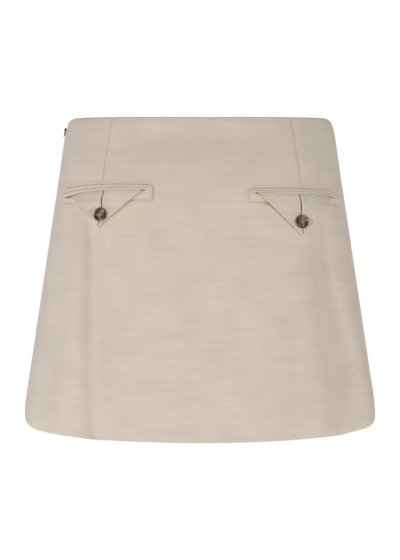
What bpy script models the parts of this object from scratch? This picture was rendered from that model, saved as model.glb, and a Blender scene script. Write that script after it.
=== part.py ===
"""A-line mini skort with two back welt pockets, in the form it takes when worn.

Metres, +Z up. The wearer faces +Y, so the back of the skort faces -Y and the
wearer's left is -X. The origin is the centre of the waist opening, level with
the top edge at centre back, where the wearer's waist holds the garment up.

Every panel is placed by two measures: how far round it is, as a fraction of the
way from the centre of its side (0) to the side seams (-1 and 1, from left to
right as seen from outside), and its height. Pieces laid on the back are placed
by their real distance from centre back, along the cloth.
"""

import functools
import math
from collections import namedtuple

import bmesh
import bpy
from mathutils import Matrix, Vector

MM = 0.001

# ---------------------------------------------------------------- driving sizes
CLOTH_THICKNESS = 1.5 * MM
SEAM_GAP = 0.3 * MM
LAID_GAP = 0.35 * MM        # between a panel and what lies on it
MERGE_DISTANCE = 0.01 * MM

# The form that the skirt is worn on: one row for each level down the figure.
Level = namedtuple("Level", "height half_width back_depth front_depth")
FORM = (
    Level(height=5 * MM, half_width=149.8 * MM, back_depth=101 * MM, front_depth=97 * MM),
    Level(height=0 * MM, half_width=152.4 * MM, back_depth=102 * MM, front_depth=98 * MM),
    Level(height=-14 * MM, half_width=155.8 * MM, back_depth=104.5 * MM, front_depth=99.5 * MM),
    Level(height=-60 * MM, half_width=162.4 * MM, back_depth=114 * MM, front_depth=104 * MM),
    Level(height=-120 * MM, half_width=171.4 * MM, back_depth=119.5 * MM, front_depth=110 * MM),
    Level(height=-190 * MM, half_width=181.9 * MM, back_depth=122.5 * MM, front_depth=115 * MM),
    Level(height=-280 * MM, half_width=195.3 * MM, back_depth=128 * MM, front_depth=121 * MM),
    Level(height=-325 * MM, half_width=201.7 * MM, back_depth=130.5 * MM, front_depth=123.5 * MM),
    Level(height=-345 * MM, half_width=201.2 * MM, back_depth=131.5 * MM, front_depth=124.5 * MM),
    Level(height=-360 * MM, half_width=195.5 * MM, back_depth=132 * MM, front_depth=125 * MM),
)
SECTION_ROUNDNESS = 2.5     # 2 is an ellipse, and more is squarer
ARC_STEPS = 120             # steps along a quarter of a section

# Top edge and hem: height at the centre, how much it bows towards the side seams,
# and the turn that it takes near them (its height, and where it starts and ends).
Edge = namedtuple("Edge", "centre bow turn turn_start turn_end")
TOP_EDGE = {
    "back": Edge(centre=0 * MM, bow=5.4 * MM, turn=-8.8 * MM, turn_start=0.78, turn_end=1.0),
    "front": Edge(centre=-6 * MM, bow=2.6 * MM, turn=0 * MM, turn_start=0.78, turn_end=1.0),
}
HEM = {
    "back": Edge(centre=-359.6 * MM, bow=17.0 * MM, turn=6 * MM, turn_start=0.72, turn_end=1.0),
    "front": Edge(centre=-352 * MM, bow=11.0 * MM, turn=4.4 * MM, turn_start=0.72, turn_end=1.0),
}

HEM_SAG = 0.15              # of the hem under a fold, as a share of the fold's depth

# Soft folds: a trough has a depth above 0, and a ridge one below. Each runs down
# from start_height to the hem. The pairs are its values there and at the hem, a bend
# above 1 lets its line run straight down at first, lean is how many times wider its
# left side is, and fade_in is the drop over which it sets in.
Fold = namedtuple("Fold", "side start_height round bend width lean depth fade_in")
FOLDS = (
    Fold("back", start_height=-100 * MM, round=(-0.545, -0.46), bend=1,
         width=(8 * MM, 16 * MM), lean=1.3, depth=(4.0 * MM, 11.0 * MM), fade_in=22 * MM),
    Fold("back", start_height=-100 * MM, round=(0.58, 0.69), bend=2,
         width=(7 * MM, 23 * MM), lean=1.5, depth=(5.0 * MM, 13.0 * MM), fade_in=20 * MM),
    Fold("back", start_height=-140 * MM, round=(0.66, 0.83), bend=1,
         width=(16 * MM, 16 * MM), lean=1, depth=(-1.8 * MM, -1.8 * MM), fade_in=90 * MM),
    Fold("back", start_height=-210 * MM, round=(-0.75, -0.70), bend=1,
         width=(18 * MM, 18 * MM), lean=1, depth=(-1.5 * MM, -1.5 * MM), fade_in=90 * MM),
    Fold("front", start_height=-130 * MM, round=(-0.50, -0.56), bend=1,
         width=(19 * MM, 19 * MM), lean=1, depth=(5.0 * MM, 5.0 * MM), fade_in=120 * MM),
    Fold("front", start_height=-150 * MM, round=(0.46, 0.49), bend=1,
         width=(18 * MM, 18 * MM), lean=1, depth=(4.4 * MM, 4.4 * MM), fade_in=120 * MM),
    Fold("front", start_height=-215 * MM, round=(-0.06, -0.10), bend=1,
         width=(24 * MM, 24 * MM), lean=1, depth=(3.0 * MM, 3.0 * MM), fade_in=120 * MM),
)

# Darts are stitched from the top edge down, and pull the cloth in along the line.
Dart = namedtuple("Dart", "side round length")
DARTS = (
    Dart("back", round=-0.487, length=78 * MM),
    Dart("back", round=0.50, length=82 * MM),
    Dart("front", round=-0.50, length=85 * MM),
    Dart("front", round=0.50, length=85 * MM),
)
DART_HALF_WIDTH = 1.6 * MM
DART_DEPTH = 0.6 * MM
DART_FADE = 10 * MM         # at its point

PANEL_COLUMNS = {"back": 46, "front": 36}
PANEL_ROWS = {"back": 12, "front": 9}
EDGE_ROWS = (0.022, 0.055, 0.10)    # shares of the height, in from each edge, with a row too
MIDDLE_HEIGHT = -150 * MM   # where the seam gap is measured

# Welt pockets. Distances are from centre back along the cloth, and each of top,
# mouth and bottom is a height at the inner end, the middle and the outer end.
Pocket = namedtuple("Pocket", "name turn inner outer top mouth bottom flap_inner flap_outer tip button")
POCKETS = (
    Pocket(name="pocket_left", turn=-1, inner=51.7 * MM, outer=169 * MM,
           top=(-76.4 * MM, -74.6 * MM, -77.4 * MM),
           mouth=(-81.8 * MM, -81.6 * MM, -88.6 * MM),
           bottom=(-92.2 * MM, -92.2 * MM, -94.3 * MM),
           flap_inner=63.6 * MM, flap_outer=153 * MM,
           tip=(115.4 * MM, -122.6 * MM), button=(111.8 * MM, -108.7 * MM)),
    Pocket(name="pocket_right", turn=1, inner=53.6 * MM, outer=177 * MM,
           top=(-80.4 * MM, -79.6 * MM, -82.7 * MM),
           mouth=(-84.6 * MM, -85.4 * MM, -88.4 * MM),
           bottom=(-93.6 * MM, -96.0 * MM, -94.6 * MM),
           flap_inner=64.3 * MM, flap_outer=158 * MM,
           tip=(116 * MM, -132.0 * MM), button=(114.6 * MM, -116.6 * MM)),
)
LOWER_WELT_THICKNESS = 0.9 * MM
UPPER_WELT_TOP_THICKNESS = 1.1 * MM
UPPER_WELT_LIP_THICKNESS = 2.2 * MM
WELT_COLUMNS = 16
WELT_ROWS = 2

FLAP_THICKNESS = 1.7 * MM
FLAP_EDGE_SHARE = 0.55      # of its thickness left at the folded edge
FLAP_CLEAR = 1.5 * MM       # below the welt, where the flap starts to settle on the panel
FLAP_DROP = 8 * MM          # and the drop in which it does
FLAP_LIFT = 1.4 * MM        # of its side edges, halfway down
FLAP_GAP = 0.75 * MM        # between the panel and the flap's tip
FLAP_TIP_HALF_WIDTH = 4.2 * MM
FLAP_TIP_ROUND = 3.0 * MM
FLAP_COLUMNS = (-1, -0.93, -0.7, -0.4, -0.15, -0.04, 0, 0.04, 0.15, 0.4, 0.7, 0.93, 1)
FLAP_ROWS = 9
SLIT_DEPTH = 0.9 * MM
SLIT_END = 0.93             # share of the flap's depth that the slit runs down

BUTTON_RADIUS = 7.6 * MM
BUTTON_GAP = 0.5 * MM       # between a flap and the back of its button
BUTTON_STEPS = 24
# Half section of the button, from the middle of its dish, over the rim, to its back.
Turn = namedtuple("Turn", "share_of_radius height")
BUTTON_PROFILE = (
    Turn(0, 2.2 * MM),
    Turn(0.55, 2.2 * MM),
    Turn(0.68, 2.9 * MM),
    Turn(0.82, 3.1 * MM),
    Turn(0.95, 2.7 * MM),
    Turn(1, 1.8 * MM),
    Turn(0.95, 0.8 * MM),
    Turn(0.8, 0),
    Turn(0, 0),
)
BUTTON_HOLE_RADIUS = 0.9 * MM
BUTTON_HOLE_SPACING = 3.2 * MM

# Concealed zip in the left side seam.
ZIP_TOP = -19 * MM
ZIP_BOTTOM = -190 * MM
ZIP_TAPE_WIDTH = 22 * MM
ZIP_TAPE_THICKNESS = 0.7 * MM
ZIP_TAPE_COLUMNS = 4
ZIP_TAPE_ROWS = 9
SLIDER_HEIGHT = -10.9 * MM
SLIDER_SIZE = Vector((4.4, 6.5, 0.8)) * MM      # across, along the seam, out
SLIDER_ROUND = 0.25 * MM
PIN_OUT = 1.75 * MM                             # from the cloth to the pin's axis
PIN_UP = 4.6 * MM                               # above the slider's middle
PIN_RADIUS = 0.4 * MM
EAR_THICKNESS = 0.8 * MM
EAR_MARGIN = 0.4 * MM                           # of ear round the pin
TAB_WIDTH = 2.4 * MM
TAB_LENGTH = 9.5 * MM
TAB_THICKNESS = 0.7 * MM
TAB_NECK = 0.8              # share of its width left at the eye
TAB_ROUND = 0.2 * MM
EYE_RADIUS = 1.1 * MM
RUNNING_GAP = 0.3 * MM

# Inner shorts, in two halves that meet on the centre seam.
SHORTS_THICKNESS = 1.1 * MM
Clearance = namedtuple("Clearance", "height gap")
SHORTS_CLEARANCE = (
    Clearance(height=0 * MM, gap=0.55 * MM),
    Clearance(height=-9 * MM, gap=0.7 * MM),
    Clearance(height=-18 * MM, gap=3.4 * MM),
    Clearance(height=-60 * MM, gap=6 * MM),
    Clearance(height=-150 * MM, gap=11 * MM),
    Clearance(height=-300 * MM, gap=24 * MM),
)
SHORTS_BELOW_TOP = 1.2 * MM
LEG_END = -300 * MM
CROTCH_TURN = -150 * MM     # where the centre seam leaves the form
CROTCH_HEIGHT = -236 * MM
LEG_GAP_AT_HEM = 9 * MM     # from the centre plane to the leg's inner side
LEG_HALF_DEPTH = 88 * MM
LEG_ROUNDNESS = 2.3
SEAM_TURN = math.radians(120)   # turn round the leg, from its outer side, of the centre seam
SHORTS_OUTER_COLUMNS = 22
SHORTS_INNER_COLUMNS = 14
SEAM_STEPS = 20             # of the centre seam, down the form, and twice as many under the crotch
SHORTS_ROWS = (0, 0.015, 0.032, 0.065, 0.18, 0.33, 0.50, 0.67, 0.84, 1)     # shares of the way down


# ---------------------------------------------------------------- the worn form
def smooth(share):
    """0 below 0, 1 above 1, and a soft step between."""
    share = min(max(share, 0.0), 1.0)
    return share * share * (3 - 2 * share)


def curve_through(rows, column, height):
    """A column of a table at a height, on a smooth curve through its rows."""
    heights = [row.height for row in rows]
    values = [getattr(row, column) for row in rows]
    last = len(rows) - 1
    slopes = []
    for place in range(last + 1):
        above, below = max(place - 1, 0), min(place + 1, last)
        slopes.append((values[below] - values[above]) / (heights[below] - heights[above]))
    if height > heights[0]:
        return values[0] + slopes[0] * (height - heights[0])
    if height < heights[last]:
        return values[last] + slopes[last] * (height - heights[last])
    step = next(place for place in range(last) if height >= heights[place + 1])
    drop = heights[step + 1] - heights[step]
    share = (height - heights[step]) / drop
    square, cube = share ** 2, share ** 3
    return ((2 * cube - 3 * square + 1) * values[step] + (cube - 2 * square + share) * slopes[step] * drop
            + (3 * square - 2 * cube) * values[step + 1] + (cube - square) * slopes[step + 1] * drop)


@functools.lru_cache(maxsize=None)
def quarter(side, height):
    """A quarter of the section at a height: (arc so far, x, depth), centre to side seam."""
    half_width = curve_through(FORM, "half_width", height)
    side_depth = curve_through(FORM, side + "_depth", height)
    points = [(0.0, 0.0, side_depth)]
    for step in range(1, ARC_STEPS + 1):
        turn = math.pi / 2 * step / ARC_STEPS
        across, along = math.sin(turn), abs(math.cos(turn))
        reach = (across ** SECTION_ROUNDNESS + along ** SECTION_ROUNDNESS) ** (-1 / SECTION_ROUNDNESS)
        x, depth = half_width * reach * across, side_depth * reach * along
        arc = points[-1][0] + math.hypot(x - points[-1][1], depth - points[-1][2])
        points.append((arc, x, depth))
    return points


def half_girth(side, height):
    """Length of the cloth from the centre of a side to its side seam."""
    return quarter(side, height)[-1][0]


def form_point(side, part_round, height):
    """The point of the form that is part_round of the way to a side seam."""
    points = quarter(side, height)
    arc = abs(part_round) * points[-1][0]
    low, high = 0, len(points) - 1
    while high - low > 1:
        middle = (low + high) // 2
        low, high = (middle, high) if points[middle][0] <= arc else (low, middle)
    share = (arc - points[low][0]) / (points[high][0] - points[low][0])
    x = points[low][1] + share * (points[high][1] - points[low][1])
    depth = points[low][2] + share * (points[high][2] - points[low][2])
    to_right = math.copysign(x, part_round)
    return Vector((to_right, -depth, height)) if side == "back" else Vector((-to_right, depth, height))


def form_normal(side, part_round, height):
    """Outward direction of the form."""
    part_step, height_step = 0.015, 2 * MM
    inside = min(max(part_round, part_step - 1), 1 - part_step)
    across = form_point(side, inside + part_step, height) - form_point(side, inside - part_step, height)
    above = form_point(side, part_round, height + height_step)
    up = above - form_point(side, part_round, height - height_step)
    if abs(part_round) > 1 - part_step / 2:
        across = Vector((0, math.copysign(1, part_round) * (1 if side == "back" else -1), 0))
    return across.cross(up).normalized()


def between(pair, share):
    """The value this share of the way from the first to the second of a pair."""
    return pair[0] + (pair[1] - pair[0]) * share


def folded(side, part_round, height):
    """How far the folds move the cloth out of the plain form."""
    girth = half_girth(side, height)
    moved = 0.0
    for fold in FOLDS:
        if fold.side == side and height < fold.start_height:
            drop = min((fold.start_height - height) / (fold.start_height - HEM[side].centre), 1.05)
            away = (part_round - between(fold.round, drop ** fold.bend)) * girth / between(fold.width, drop)
            if away < 0:
                away /= fold.lean
            set_in = smooth((fold.start_height - height) / fold.fade_in)
            moved -= between(fold.depth, drop) * math.exp(-away * away) * set_in
    return moved


def relief(side, part_round, height):
    """How far folds and darts move the cloth out of the plain form."""
    girth = half_girth(side, height)
    moved = folded(side, part_round, height)
    for dart in DARTS:
        if dart.side == side and height > -dart.length:
            away = abs(part_round - dart.round) * girth / DART_HALF_WIDTH
            moved -= DART_DEPTH * max(0.0, 1 - away) * smooth((height + dart.length) / DART_FADE)
    return moved


def cloth_point(side, part_round, height, out=0.0):
    """A point at a distance out of the skirt's outer surface."""
    normal = form_normal(side, part_round, height)
    return form_point(side, part_round, height) + normal * (out + relief(side, part_round, height))


def back_point(along, height, out=0.0):
    """A point on the back, by its distance from centre back along the cloth."""
    return cloth_point("back", along / half_girth("back", height), height, out)


def edge_height(edge, part_round):
    """Height of a top edge or hem."""
    part = abs(part_round)
    turned = smooth((part - edge.turn_start) / (edge.turn_end - edge.turn_start))
    return edge.centre + edge.bow * part * part + edge.turn * turned


def hem_height(side, part_round):
    """Height of the hem, lower where a fold moves it inwards, so that it still runs level."""
    height = edge_height(HEM[side], part_round)
    normal, inwards = form_normal(side, part_round, height), -folded(side, part_round, height)
    moved = inwards * abs(normal.x) / max(abs(normal.y), 0.3) / half_girth(side, height)
    return edge_height(HEM[side], abs(part_round) - moved) - (HEM_SAG - normal.z) * inwards


# ---------------------------------------------------------------- building tools
def clear_scene():
    """Remove what the scene holds."""
    for thing in list(bpy.data.objects):
        bpy.data.objects.remove(thing, do_unlink=True)


def collection(name):
    """A new collection in the scene."""
    group = bpy.data.collections.new(name)
    bpy.context.scene.collection.children.link(group)
    return group


def surface_material(name, colour, roughness, metallic=0.0):
    """A plain Principled material for one piece."""
    material = bpy.data.materials.new(name)
    material.use_nodes = True
    shader = material.node_tree.nodes["Principled BSDF"]
    shader.inputs["Base Color"].default_value = (*colour, 1)
    shader.inputs["Roughness"].default_value = roughness
    shader.inputs["Metallic"].default_value = metallic
    return material


def mesh_object(name, bm, material, group):
    """An object made of a bmesh, which is freed."""
    mesh = bpy.data.meshes.new(name)
    bm.to_mesh(mesh)
    bm.free()
    mesh.materials.append(material)
    thing = bpy.data.objects.new(name, mesh)
    group.objects.link(thing)
    return thing


def shaped_grid(columns, rows, shape):
    """A grid whose points go where shape(column, row) says; it faces out of right times up."""
    bm = bmesh.new()
    bmesh.ops.create_grid(bm, x_segments=len(columns) - 1, y_segments=len(rows) - 1, size=1)
    for vert in bm.verts:
        column = columns[round((vert.co.x + 1) / 2 * (len(columns) - 1))]
        row = rows[round((vert.co.y + 1) / 2 * (len(rows) - 1))]
        vert.co = shape(column, row)
    return bm


def closed_plate(columns, rows, shape):
    """A closed plate: shape(column, row, level) places its inner (0) and outer (1) faces.

    Columns run to the right and rows up, as seen from outside.
    """
    bm = bmesh.new()
    bmesh.ops.create_grid(bm, x_segments=len(columns) - 1, y_segments=len(rows) - 1, size=1)
    raised = bmesh.ops.extrude_face_region(bm, geom=bm.faces[:], use_keep_orig=True)
    for item in raised["geom"]:
        if isinstance(item, bmesh.types.BMVert):
            item.co.z = 1
    bmesh.ops.recalc_face_normals(bm, faces=bm.faces)
    for vert in bm.verts:
        column = columns[round((vert.co.x + 1) / 2 * (len(columns) - 1))]
        row = rows[round((vert.co.y + 1) / 2 * (len(rows) - 1))]
        vert.co = shape(column, row, round(vert.co.z))
    return bm


def even_steps(start, end, count):
    """count + 1 values from start to end."""
    return [start + (end - start) * step / count for step in range(count + 1)]


def add_thickness(thing, thickness):
    """Give an open surface a wall, inwards from its outer side."""
    wall = thing.modifiers.new("wall", "SOLIDIFY")
    wall.thickness = thickness
    wall.offset = -1
    wall.use_even_offset = True


def helper_object(name, bm, place, group):
    """An unseen object that a Boolean modifier adds or cuts."""
    mesh = bpy.data.meshes.new(name)
    bm.to_mesh(mesh)
    bm.free()
    helper = bpy.data.objects.new(name, mesh)
    helper.matrix_world = place
    helper.display_type = "WIRE"
    helper.hide_render = True
    group.objects.link(helper)
    return helper


def add_boolean(thing, helper, operation):
    """Join a helper to an object, or cut it away."""
    boolean = thing.modifiers.new(operation.lower(), "BOOLEAN")
    boolean.operation = operation
    boolean.solver = "EXACT"
    boolean.object = helper


# ---------------------------------------------------------------- skirt panels
def panel_columns(side):
    """Places of a panel's columns: even steps, and three on each dart line."""
    seam = 1 - SEAM_GAP / 2 / half_girth(side, MIDDLE_HEIGHT)
    columns = even_steps(-seam, seam, PANEL_COLUMNS[side])
    for dart in (dart for dart in DARTS if dart.side == side):
        beside = DART_HALF_WIDTH / half_girth(side, -dart.length / 2)
        near = [place for place in columns if abs(place - dart.round) < 2 * beside]
        columns = [place for place in columns if place not in near]
        columns += [dart.round - beside, dart.round, dart.round + beside]
    return sorted(columns)


def panel_rows(side):
    """Shares of a panel's height that have a row: close at the edges, where the form turns in."""
    upper = [1 - share for share in reversed(EDGE_ROWS)]
    return [0, *EDGE_ROWS, *even_steps(EDGE_ROWS[-1], upper[0], PANEL_ROWS[side])[1:-1], *upper, 1]


def build_panel(side, group):
    """Front or back of the skirt, from side seam to side seam."""
    def shape(part_round, up):
        top = edge_height(TOP_EDGE[side], part_round)
        hem = hem_height(side, part_round)
        return cloth_point(side, part_round, hem + (top - hem) * up)

    name = "skirt_" + side
    material = surface_material(name, colour=(0.60, 0.52, 0.45), roughness=0.85)
    bm = shaped_grid(panel_columns(side), panel_rows(side), shape)
    panel = mesh_object(name, bm, material, group)
    add_thickness(panel, CLOTH_THICKNESS)
    panel.data.shade_smooth()


# ---------------------------------------------------------------- pockets
def bowed(heights, share):
    """Height of a pocket line between its inner end (0), its middle and its outer end (1)."""
    inner, middle, outer = heights
    return (inner * (1 - share) * (1 - 2 * share) + middle * 4 * share * (1 - share)
            + outer * share * (2 * share - 1))


def pocket_line(pocket, heights, along):
    """Height of a pocket line at a distance from centre back."""
    return bowed(heights, (along - pocket.inner) / (pocket.outer - pocket.inner))


def build_welt(pocket, which, group):
    """The folded strip above or below a pocket mouth, laid on the back panel."""
    upper = which == "upper"

    def shape(along, up, level):
        mouth = pocket_line(pocket, pocket.mouth, along)
        if upper:
            low, high = mouth, pocket_line(pocket, pocket.top, along)
            thickness = UPPER_WELT_LIP_THICKNESS + (UPPER_WELT_TOP_THICKNESS - UPPER_WELT_LIP_THICKNESS) * up
        else:
            low, high = pocket_line(pocket, pocket.bottom, along), mouth - SEAM_GAP
            thickness = LOWER_WELT_THICKNESS
        return back_point(pocket.turn * along, low + (high - low) * up, LAID_GAP + thickness * level)

    name = f"{pocket.name}_{which}_welt"
    material = surface_material(name, colour=(0.62, 0.54, 0.47), roughness=0.85)
    columns = even_steps(pocket.inner, pocket.outer, WELT_COLUMNS)[::pocket.turn]
    bm = closed_plate(columns, even_steps(0, 1, WELT_ROWS), shape)
    mesh_object(name, bm, material, group)


def flap_place(pocket, part_round, down):
    """Distance from centre back and height of a point of a flap."""
    share = (part_round + 1) / 2
    root_along = pocket.flap_inner + (pocket.flap_outer - pocket.flap_inner) * share
    root_height = pocket_line(pocket, pocket.mouth, root_along) - SEAM_GAP
    tip_along = pocket.tip[0] + FLAP_TIP_HALF_WIDTH * part_round
    tip_height = pocket.tip[1] + FLAP_TIP_ROUND * part_round ** 2
    return (root_along + (tip_along - root_along) * down,
            root_height + (tip_height - root_height) * down)


def flap_out(pocket, part_round, down):
    """Distance of a flap's inner face out of the panel."""
    along, height = flap_place(pocket, part_round, down)
    over_welt = LAID_GAP + LOWER_WELT_THICKNESS + SEAM_GAP
    below = pocket_line(pocket, pocket.bottom, along) - FLAP_CLEAR - height
    settled = over_welt + (FLAP_GAP - over_welt) * smooth(below / FLAP_DROP)
    return settled + FLAP_LIFT * part_round ** 2 * 4 * down * (1 - down)


def flap_thickness(part_round, down):
    """Thickness of a flap: less at its folded edges and along its slit."""
    edge = abs(part_round) == 1
    slit = part_round == 0 and down < SLIT_END
    return FLAP_THICKNESS * (FLAP_EDGE_SHARE if edge else 1) - (SLIT_DEPTH if slit else 0)


def build_flap(pocket, group):
    """The folded triangle that closes a pocket, with its slit on the outer side."""
    def shape(part_round, up, level):
        down = 1 - up
        along, height = flap_place(pocket, part_round, down)
        out = flap_out(pocket, part_round, down) + flap_thickness(part_round, down) * level
        return back_point(pocket.turn * along, height, out)

    name = pocket.name + "_flap"
    material = surface_material(name, colour=(0.63, 0.55, 0.48), roughness=0.85)
    bm = closed_plate(FLAP_COLUMNS[::pocket.turn], even_steps(0, 1, FLAP_ROWS), shape)
    mesh_object(name, bm, material, group)


# ---------------------------------------------------------------- buttons
def button_holes():
    """The four thread holes, as rods along the button's axis."""
    bm = bmesh.new()
    for across in (-0.5, 0.5):
        for up in (-0.5, 0.5):
            hole = bmesh.ops.create_cone(bm, cap_ends=True, segments=8, radius1=BUTTON_HOLE_RADIUS,
                                         radius2=BUTTON_HOLE_RADIUS, depth=2 * BUTTON_RADIUS)
            moved = Vector((across, up, 0)) * BUTTON_HOLE_SPACING
            bmesh.ops.translate(bm, verts=hole["verts"], vec=moved)
    return bm


def build_button(pocket, group, cutters):
    """A four-hole button that lies on the flap, near its tip."""
    along, height = pocket.button
    root_height = pocket_line(pocket, pocket.mouth, along)
    down = (root_height - height) / (root_height - pocket.tip[1])
    out = flap_out(pocket, 0, down) + FLAP_THICKNESS + BUTTON_GAP
    centre = back_point(pocket.turn * along, height, out)
    facing = form_normal("back", pocket.turn * along / half_girth("back", height), height)
    right = Vector((0, 0, 1)).cross(facing).normalized()
    turned = Matrix((right, facing.cross(right), facing)).transposed().to_4x4()
    place = Matrix.Translation(centre) @ turned

    name = pocket.name.replace("pocket", "button")
    material = surface_material(name, colour=(0.06, 0.035, 0.015), roughness=0.3)
    bm = bmesh.new()
    points = [bm.verts.new((turn.share_of_radius * BUTTON_RADIUS, 0, turn.height))
              for turn in BUTTON_PROFILE]
    for start, end in zip(points, points[1:]):
        bm.edges.new((start, end))
    button = mesh_object(name, bm, material, group)
    turning = button.modifiers.new("turned", "SCREW")
    turning.steps = turning.render_steps = BUTTON_STEPS
    turning.use_merge_vertices = True
    turning.merge_threshold = MERGE_DISTANCE
    button.matrix_world = place
    add_boolean(button, helper_object(name + "_holes", button_holes(), place, cutters), "DIFFERENCE")


# ---------------------------------------------------------------- zip
def seam_place(height):
    """Frame on the left side seam: X across the seam, Y up along it, Z out of the cloth."""
    out = cloth_point("back", -1, height) - cloth_point("back", -1, height, -1)
    up = (cloth_point("back", -1, height + MM) - cloth_point("back", -1, height - MM)).normalized()
    out = (out - up * out.dot(up)).normalized()
    turned = Matrix((up.cross(out), up, out)).transposed().to_4x4()
    return Matrix.Translation(cloth_point("back", -1, height)) @ turned


def add_box(bm, size, centre):
    """A box in a bmesh."""
    cube = bmesh.ops.create_cube(bm, size=1)
    bmesh.ops.scale(bm, verts=cube["verts"], vec=size)
    bmesh.ops.translate(bm, verts=cube["verts"], vec=centre)


def add_rod(bm, radius, length, centre, segments=12):
    """A rod across the seam in a bmesh."""
    rod = bmesh.ops.create_cone(bm, cap_ends=True, segments=segments, radius1=radius, radius2=radius,
                                depth=length)
    bmesh.ops.rotate(bm, verts=rod["verts"], cent=(0, 0, 0), matrix=Matrix.Rotation(math.pi / 2, 3, "Y"))
    bmesh.ops.translate(bm, verts=rod["verts"], vec=centre)


def build_zip_tape(group):
    """The tape behind the left side seam, which carries the zip."""
    inside = -(CLOTH_THICKNESS + LAID_GAP)

    def shape(across, height, level):
        side = "back" if across <= 0 else "front"
        girth = half_girth(side, height)
        part = (1 - abs(across) / girth) * (-1 if side == "back" else 1)
        return cloth_point(side, part, height, inside - ZIP_TAPE_THICKNESS * (1 - level))

    material = surface_material("zip_tape", colour=(0.60, 0.53, 0.46), roughness=0.7)
    columns = even_steps(ZIP_TAPE_WIDTH / 2, -ZIP_TAPE_WIDTH / 2, ZIP_TAPE_COLUMNS)
    bm = closed_plate(columns, even_steps(ZIP_BOTTOM, ZIP_TOP, ZIP_TAPE_ROWS), shape)
    mesh_object("zip_tape", bm, material, group)


def build_zip_slider(group, cutters):
    """The slider at the top of the seam, with two ears and the pin that holds its tab."""
    place = seam_place(SLIDER_HEIGHT)
    material = surface_material("zip_slider", colour=(0.10, 0.08, 0.06), roughness=0.4, metallic=0.8)
    bm = bmesh.new()
    add_box(bm, SLIDER_SIZE, Vector((0, 0, LAID_GAP + SLIDER_SIZE.z / 2)))
    bmesh.ops.bevel(bm, geom=bm.edges[:], offset=SLIDER_ROUND, segments=2, affect="EDGES", profile=0.5)
    slider = mesh_object("zip_slider", bm, material, group)
    slider.matrix_world = place

    ear_across = TAB_WIDTH / 2 + RUNNING_GAP + EAR_THICKNESS / 2
    ear_foot = SLIDER_SIZE.y / 2 - 2 * EAR_MARGIN
    ear_head = PIN_UP + PIN_RADIUS + EAR_MARGIN
    ear_out = PIN_OUT + PIN_RADIUS + EAR_MARGIN
    for turn in (-1, 1):
        ear = bmesh.new()
        size = Vector((EAR_THICKNESS, ear_head - ear_foot, ear_out - LAID_GAP))
        add_box(ear, size, Vector((turn * ear_across, (ear_head + ear_foot) / 2, (ear_out + LAID_GAP) / 2)))
        name = "slider_ear_left" if turn < 0 else "slider_ear_right"
        add_boolean(slider, helper_object(name, ear, place, cutters), "UNION")
    pin = bmesh.new()
    add_rod(pin, PIN_RADIUS, 2 * ear_across, Vector((0, PIN_UP, PIN_OUT)))
    add_boolean(slider, helper_object("slider_pin", pin, place, cutters), "UNION")


def build_pull_tab(group, cutters):
    """The pull tab, which hangs from the slider's pin and swings out from the cloth."""
    pivot = seam_place(SLIDER_HEIGHT) @ Matrix.Translation((0, PIN_UP, PIN_OUT))
    material = surface_material("zip_pull_tab", colour=(0.08, 0.06, 0.05), roughness=0.4, metallic=0.8)
    bm = bmesh.new()
    blade = TAB_LENGTH - EYE_RADIUS / 2
    add_box(bm, Vector((TAB_WIDTH, blade, TAB_THICKNESS)), Vector((0, -TAB_LENGTH + blade / 2, 0)))
    for vert in bm.verts:
        if vert.co.y > -blade / 2:
            vert.co.x *= TAB_NECK
    bmesh.ops.bevel(bm, geom=bm.edges[:], offset=TAB_ROUND, segments=2, affect="EDGES", profile=0.5)
    tab = mesh_object("zip_pull_tab", bm, material, group)
    tab.matrix_world = pivot
    eye = bmesh.new()
    add_rod(eye, EYE_RADIUS, TAB_WIDTH, Vector(), segments=16)
    add_boolean(tab, helper_object("tab_eye", eye, pivot, cutters), "UNION")
    hole = bmesh.new()
    add_rod(hole, PIN_RADIUS + RUNNING_GAP, 2 * TAB_WIDTH, Vector())
    add_boolean(tab, helper_object("tab_eye_hole", hole, pivot, cutters), "DIFFERENCE")


# ---------------------------------------------------------------- inner shorts
def shorts_inset(height):
    """Distance of the shorts' outer surface from the skirt's."""
    return CLOTH_THICKNESS + curve_through(SHORTS_CLEARANCE, "gap", min(height, 0.0))


def centre_depth(side, height):
    """Depth of the shorts at the centre of the front or back."""
    return curve_through(FORM, side + "_depth", height) - shorts_inset(height)


def crotch_curve():
    """The centre seam in its plane, as (y, height), from the front waist to the back one."""
    def down_the_form(side):
        top = TOP_EDGE[side].centre - SHORTS_BELOW_TOP
        turn = -1 if side == "back" else 1
        return [(turn * centre_depth(side, z), z) for z in even_steps(top, CROTCH_TURN, SEAM_STEPS)]

    front, back = down_the_form("front"), down_the_form("back")
    middle = (front[-1][0] + back[-1][0]) / 2
    half = (front[-1][0] - back[-1][0]) / 2
    under = [(middle + half * math.cos(turn), CROTCH_TURN + (CROTCH_HEIGHT - CROTCH_TURN) * math.sin(turn))
             for turn in even_steps(0, math.pi, 2 * SEAM_STEPS)]
    return front[:-1] + under + back[-2::-1]


def point_along(curve, share):
    """The point that is a share of the way along a polyline."""
    lengths = [math.dist(start, end) for start, end in zip(curve, curve[1:])]
    left = share * sum(lengths)
    for start, end, length in zip(curve, curve[1:], lengths):
        if left <= length:
            return [a + (b - a) * left / length for a, b in zip(start, end)]
        left -= length
    return list(curve[-1])


def leg_point(turn, height):
    """A point of the leg's section: turn 0 is its outer side and a quarter turn its front."""
    outer = curve_through(FORM, "half_width", height) - shorts_inset(height)
    inner = SEAM_GAP / 2 + LEG_GAP_AT_HEM * smooth((CROTCH_TURN - height) / (CROTCH_TURN - LEG_END))
    across, along = math.cos(turn), math.sin(turn)
    reach = (abs(across) ** LEG_ROUNDNESS + abs(along) ** LEG_ROUNDNESS) ** (-1 / LEG_ROUNDNESS)
    x = (outer + inner) / 2 + (outer - inner) / 2 * reach * across
    return Vector((x, LEG_HALF_DEPTH * reach * along, height))


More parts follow.
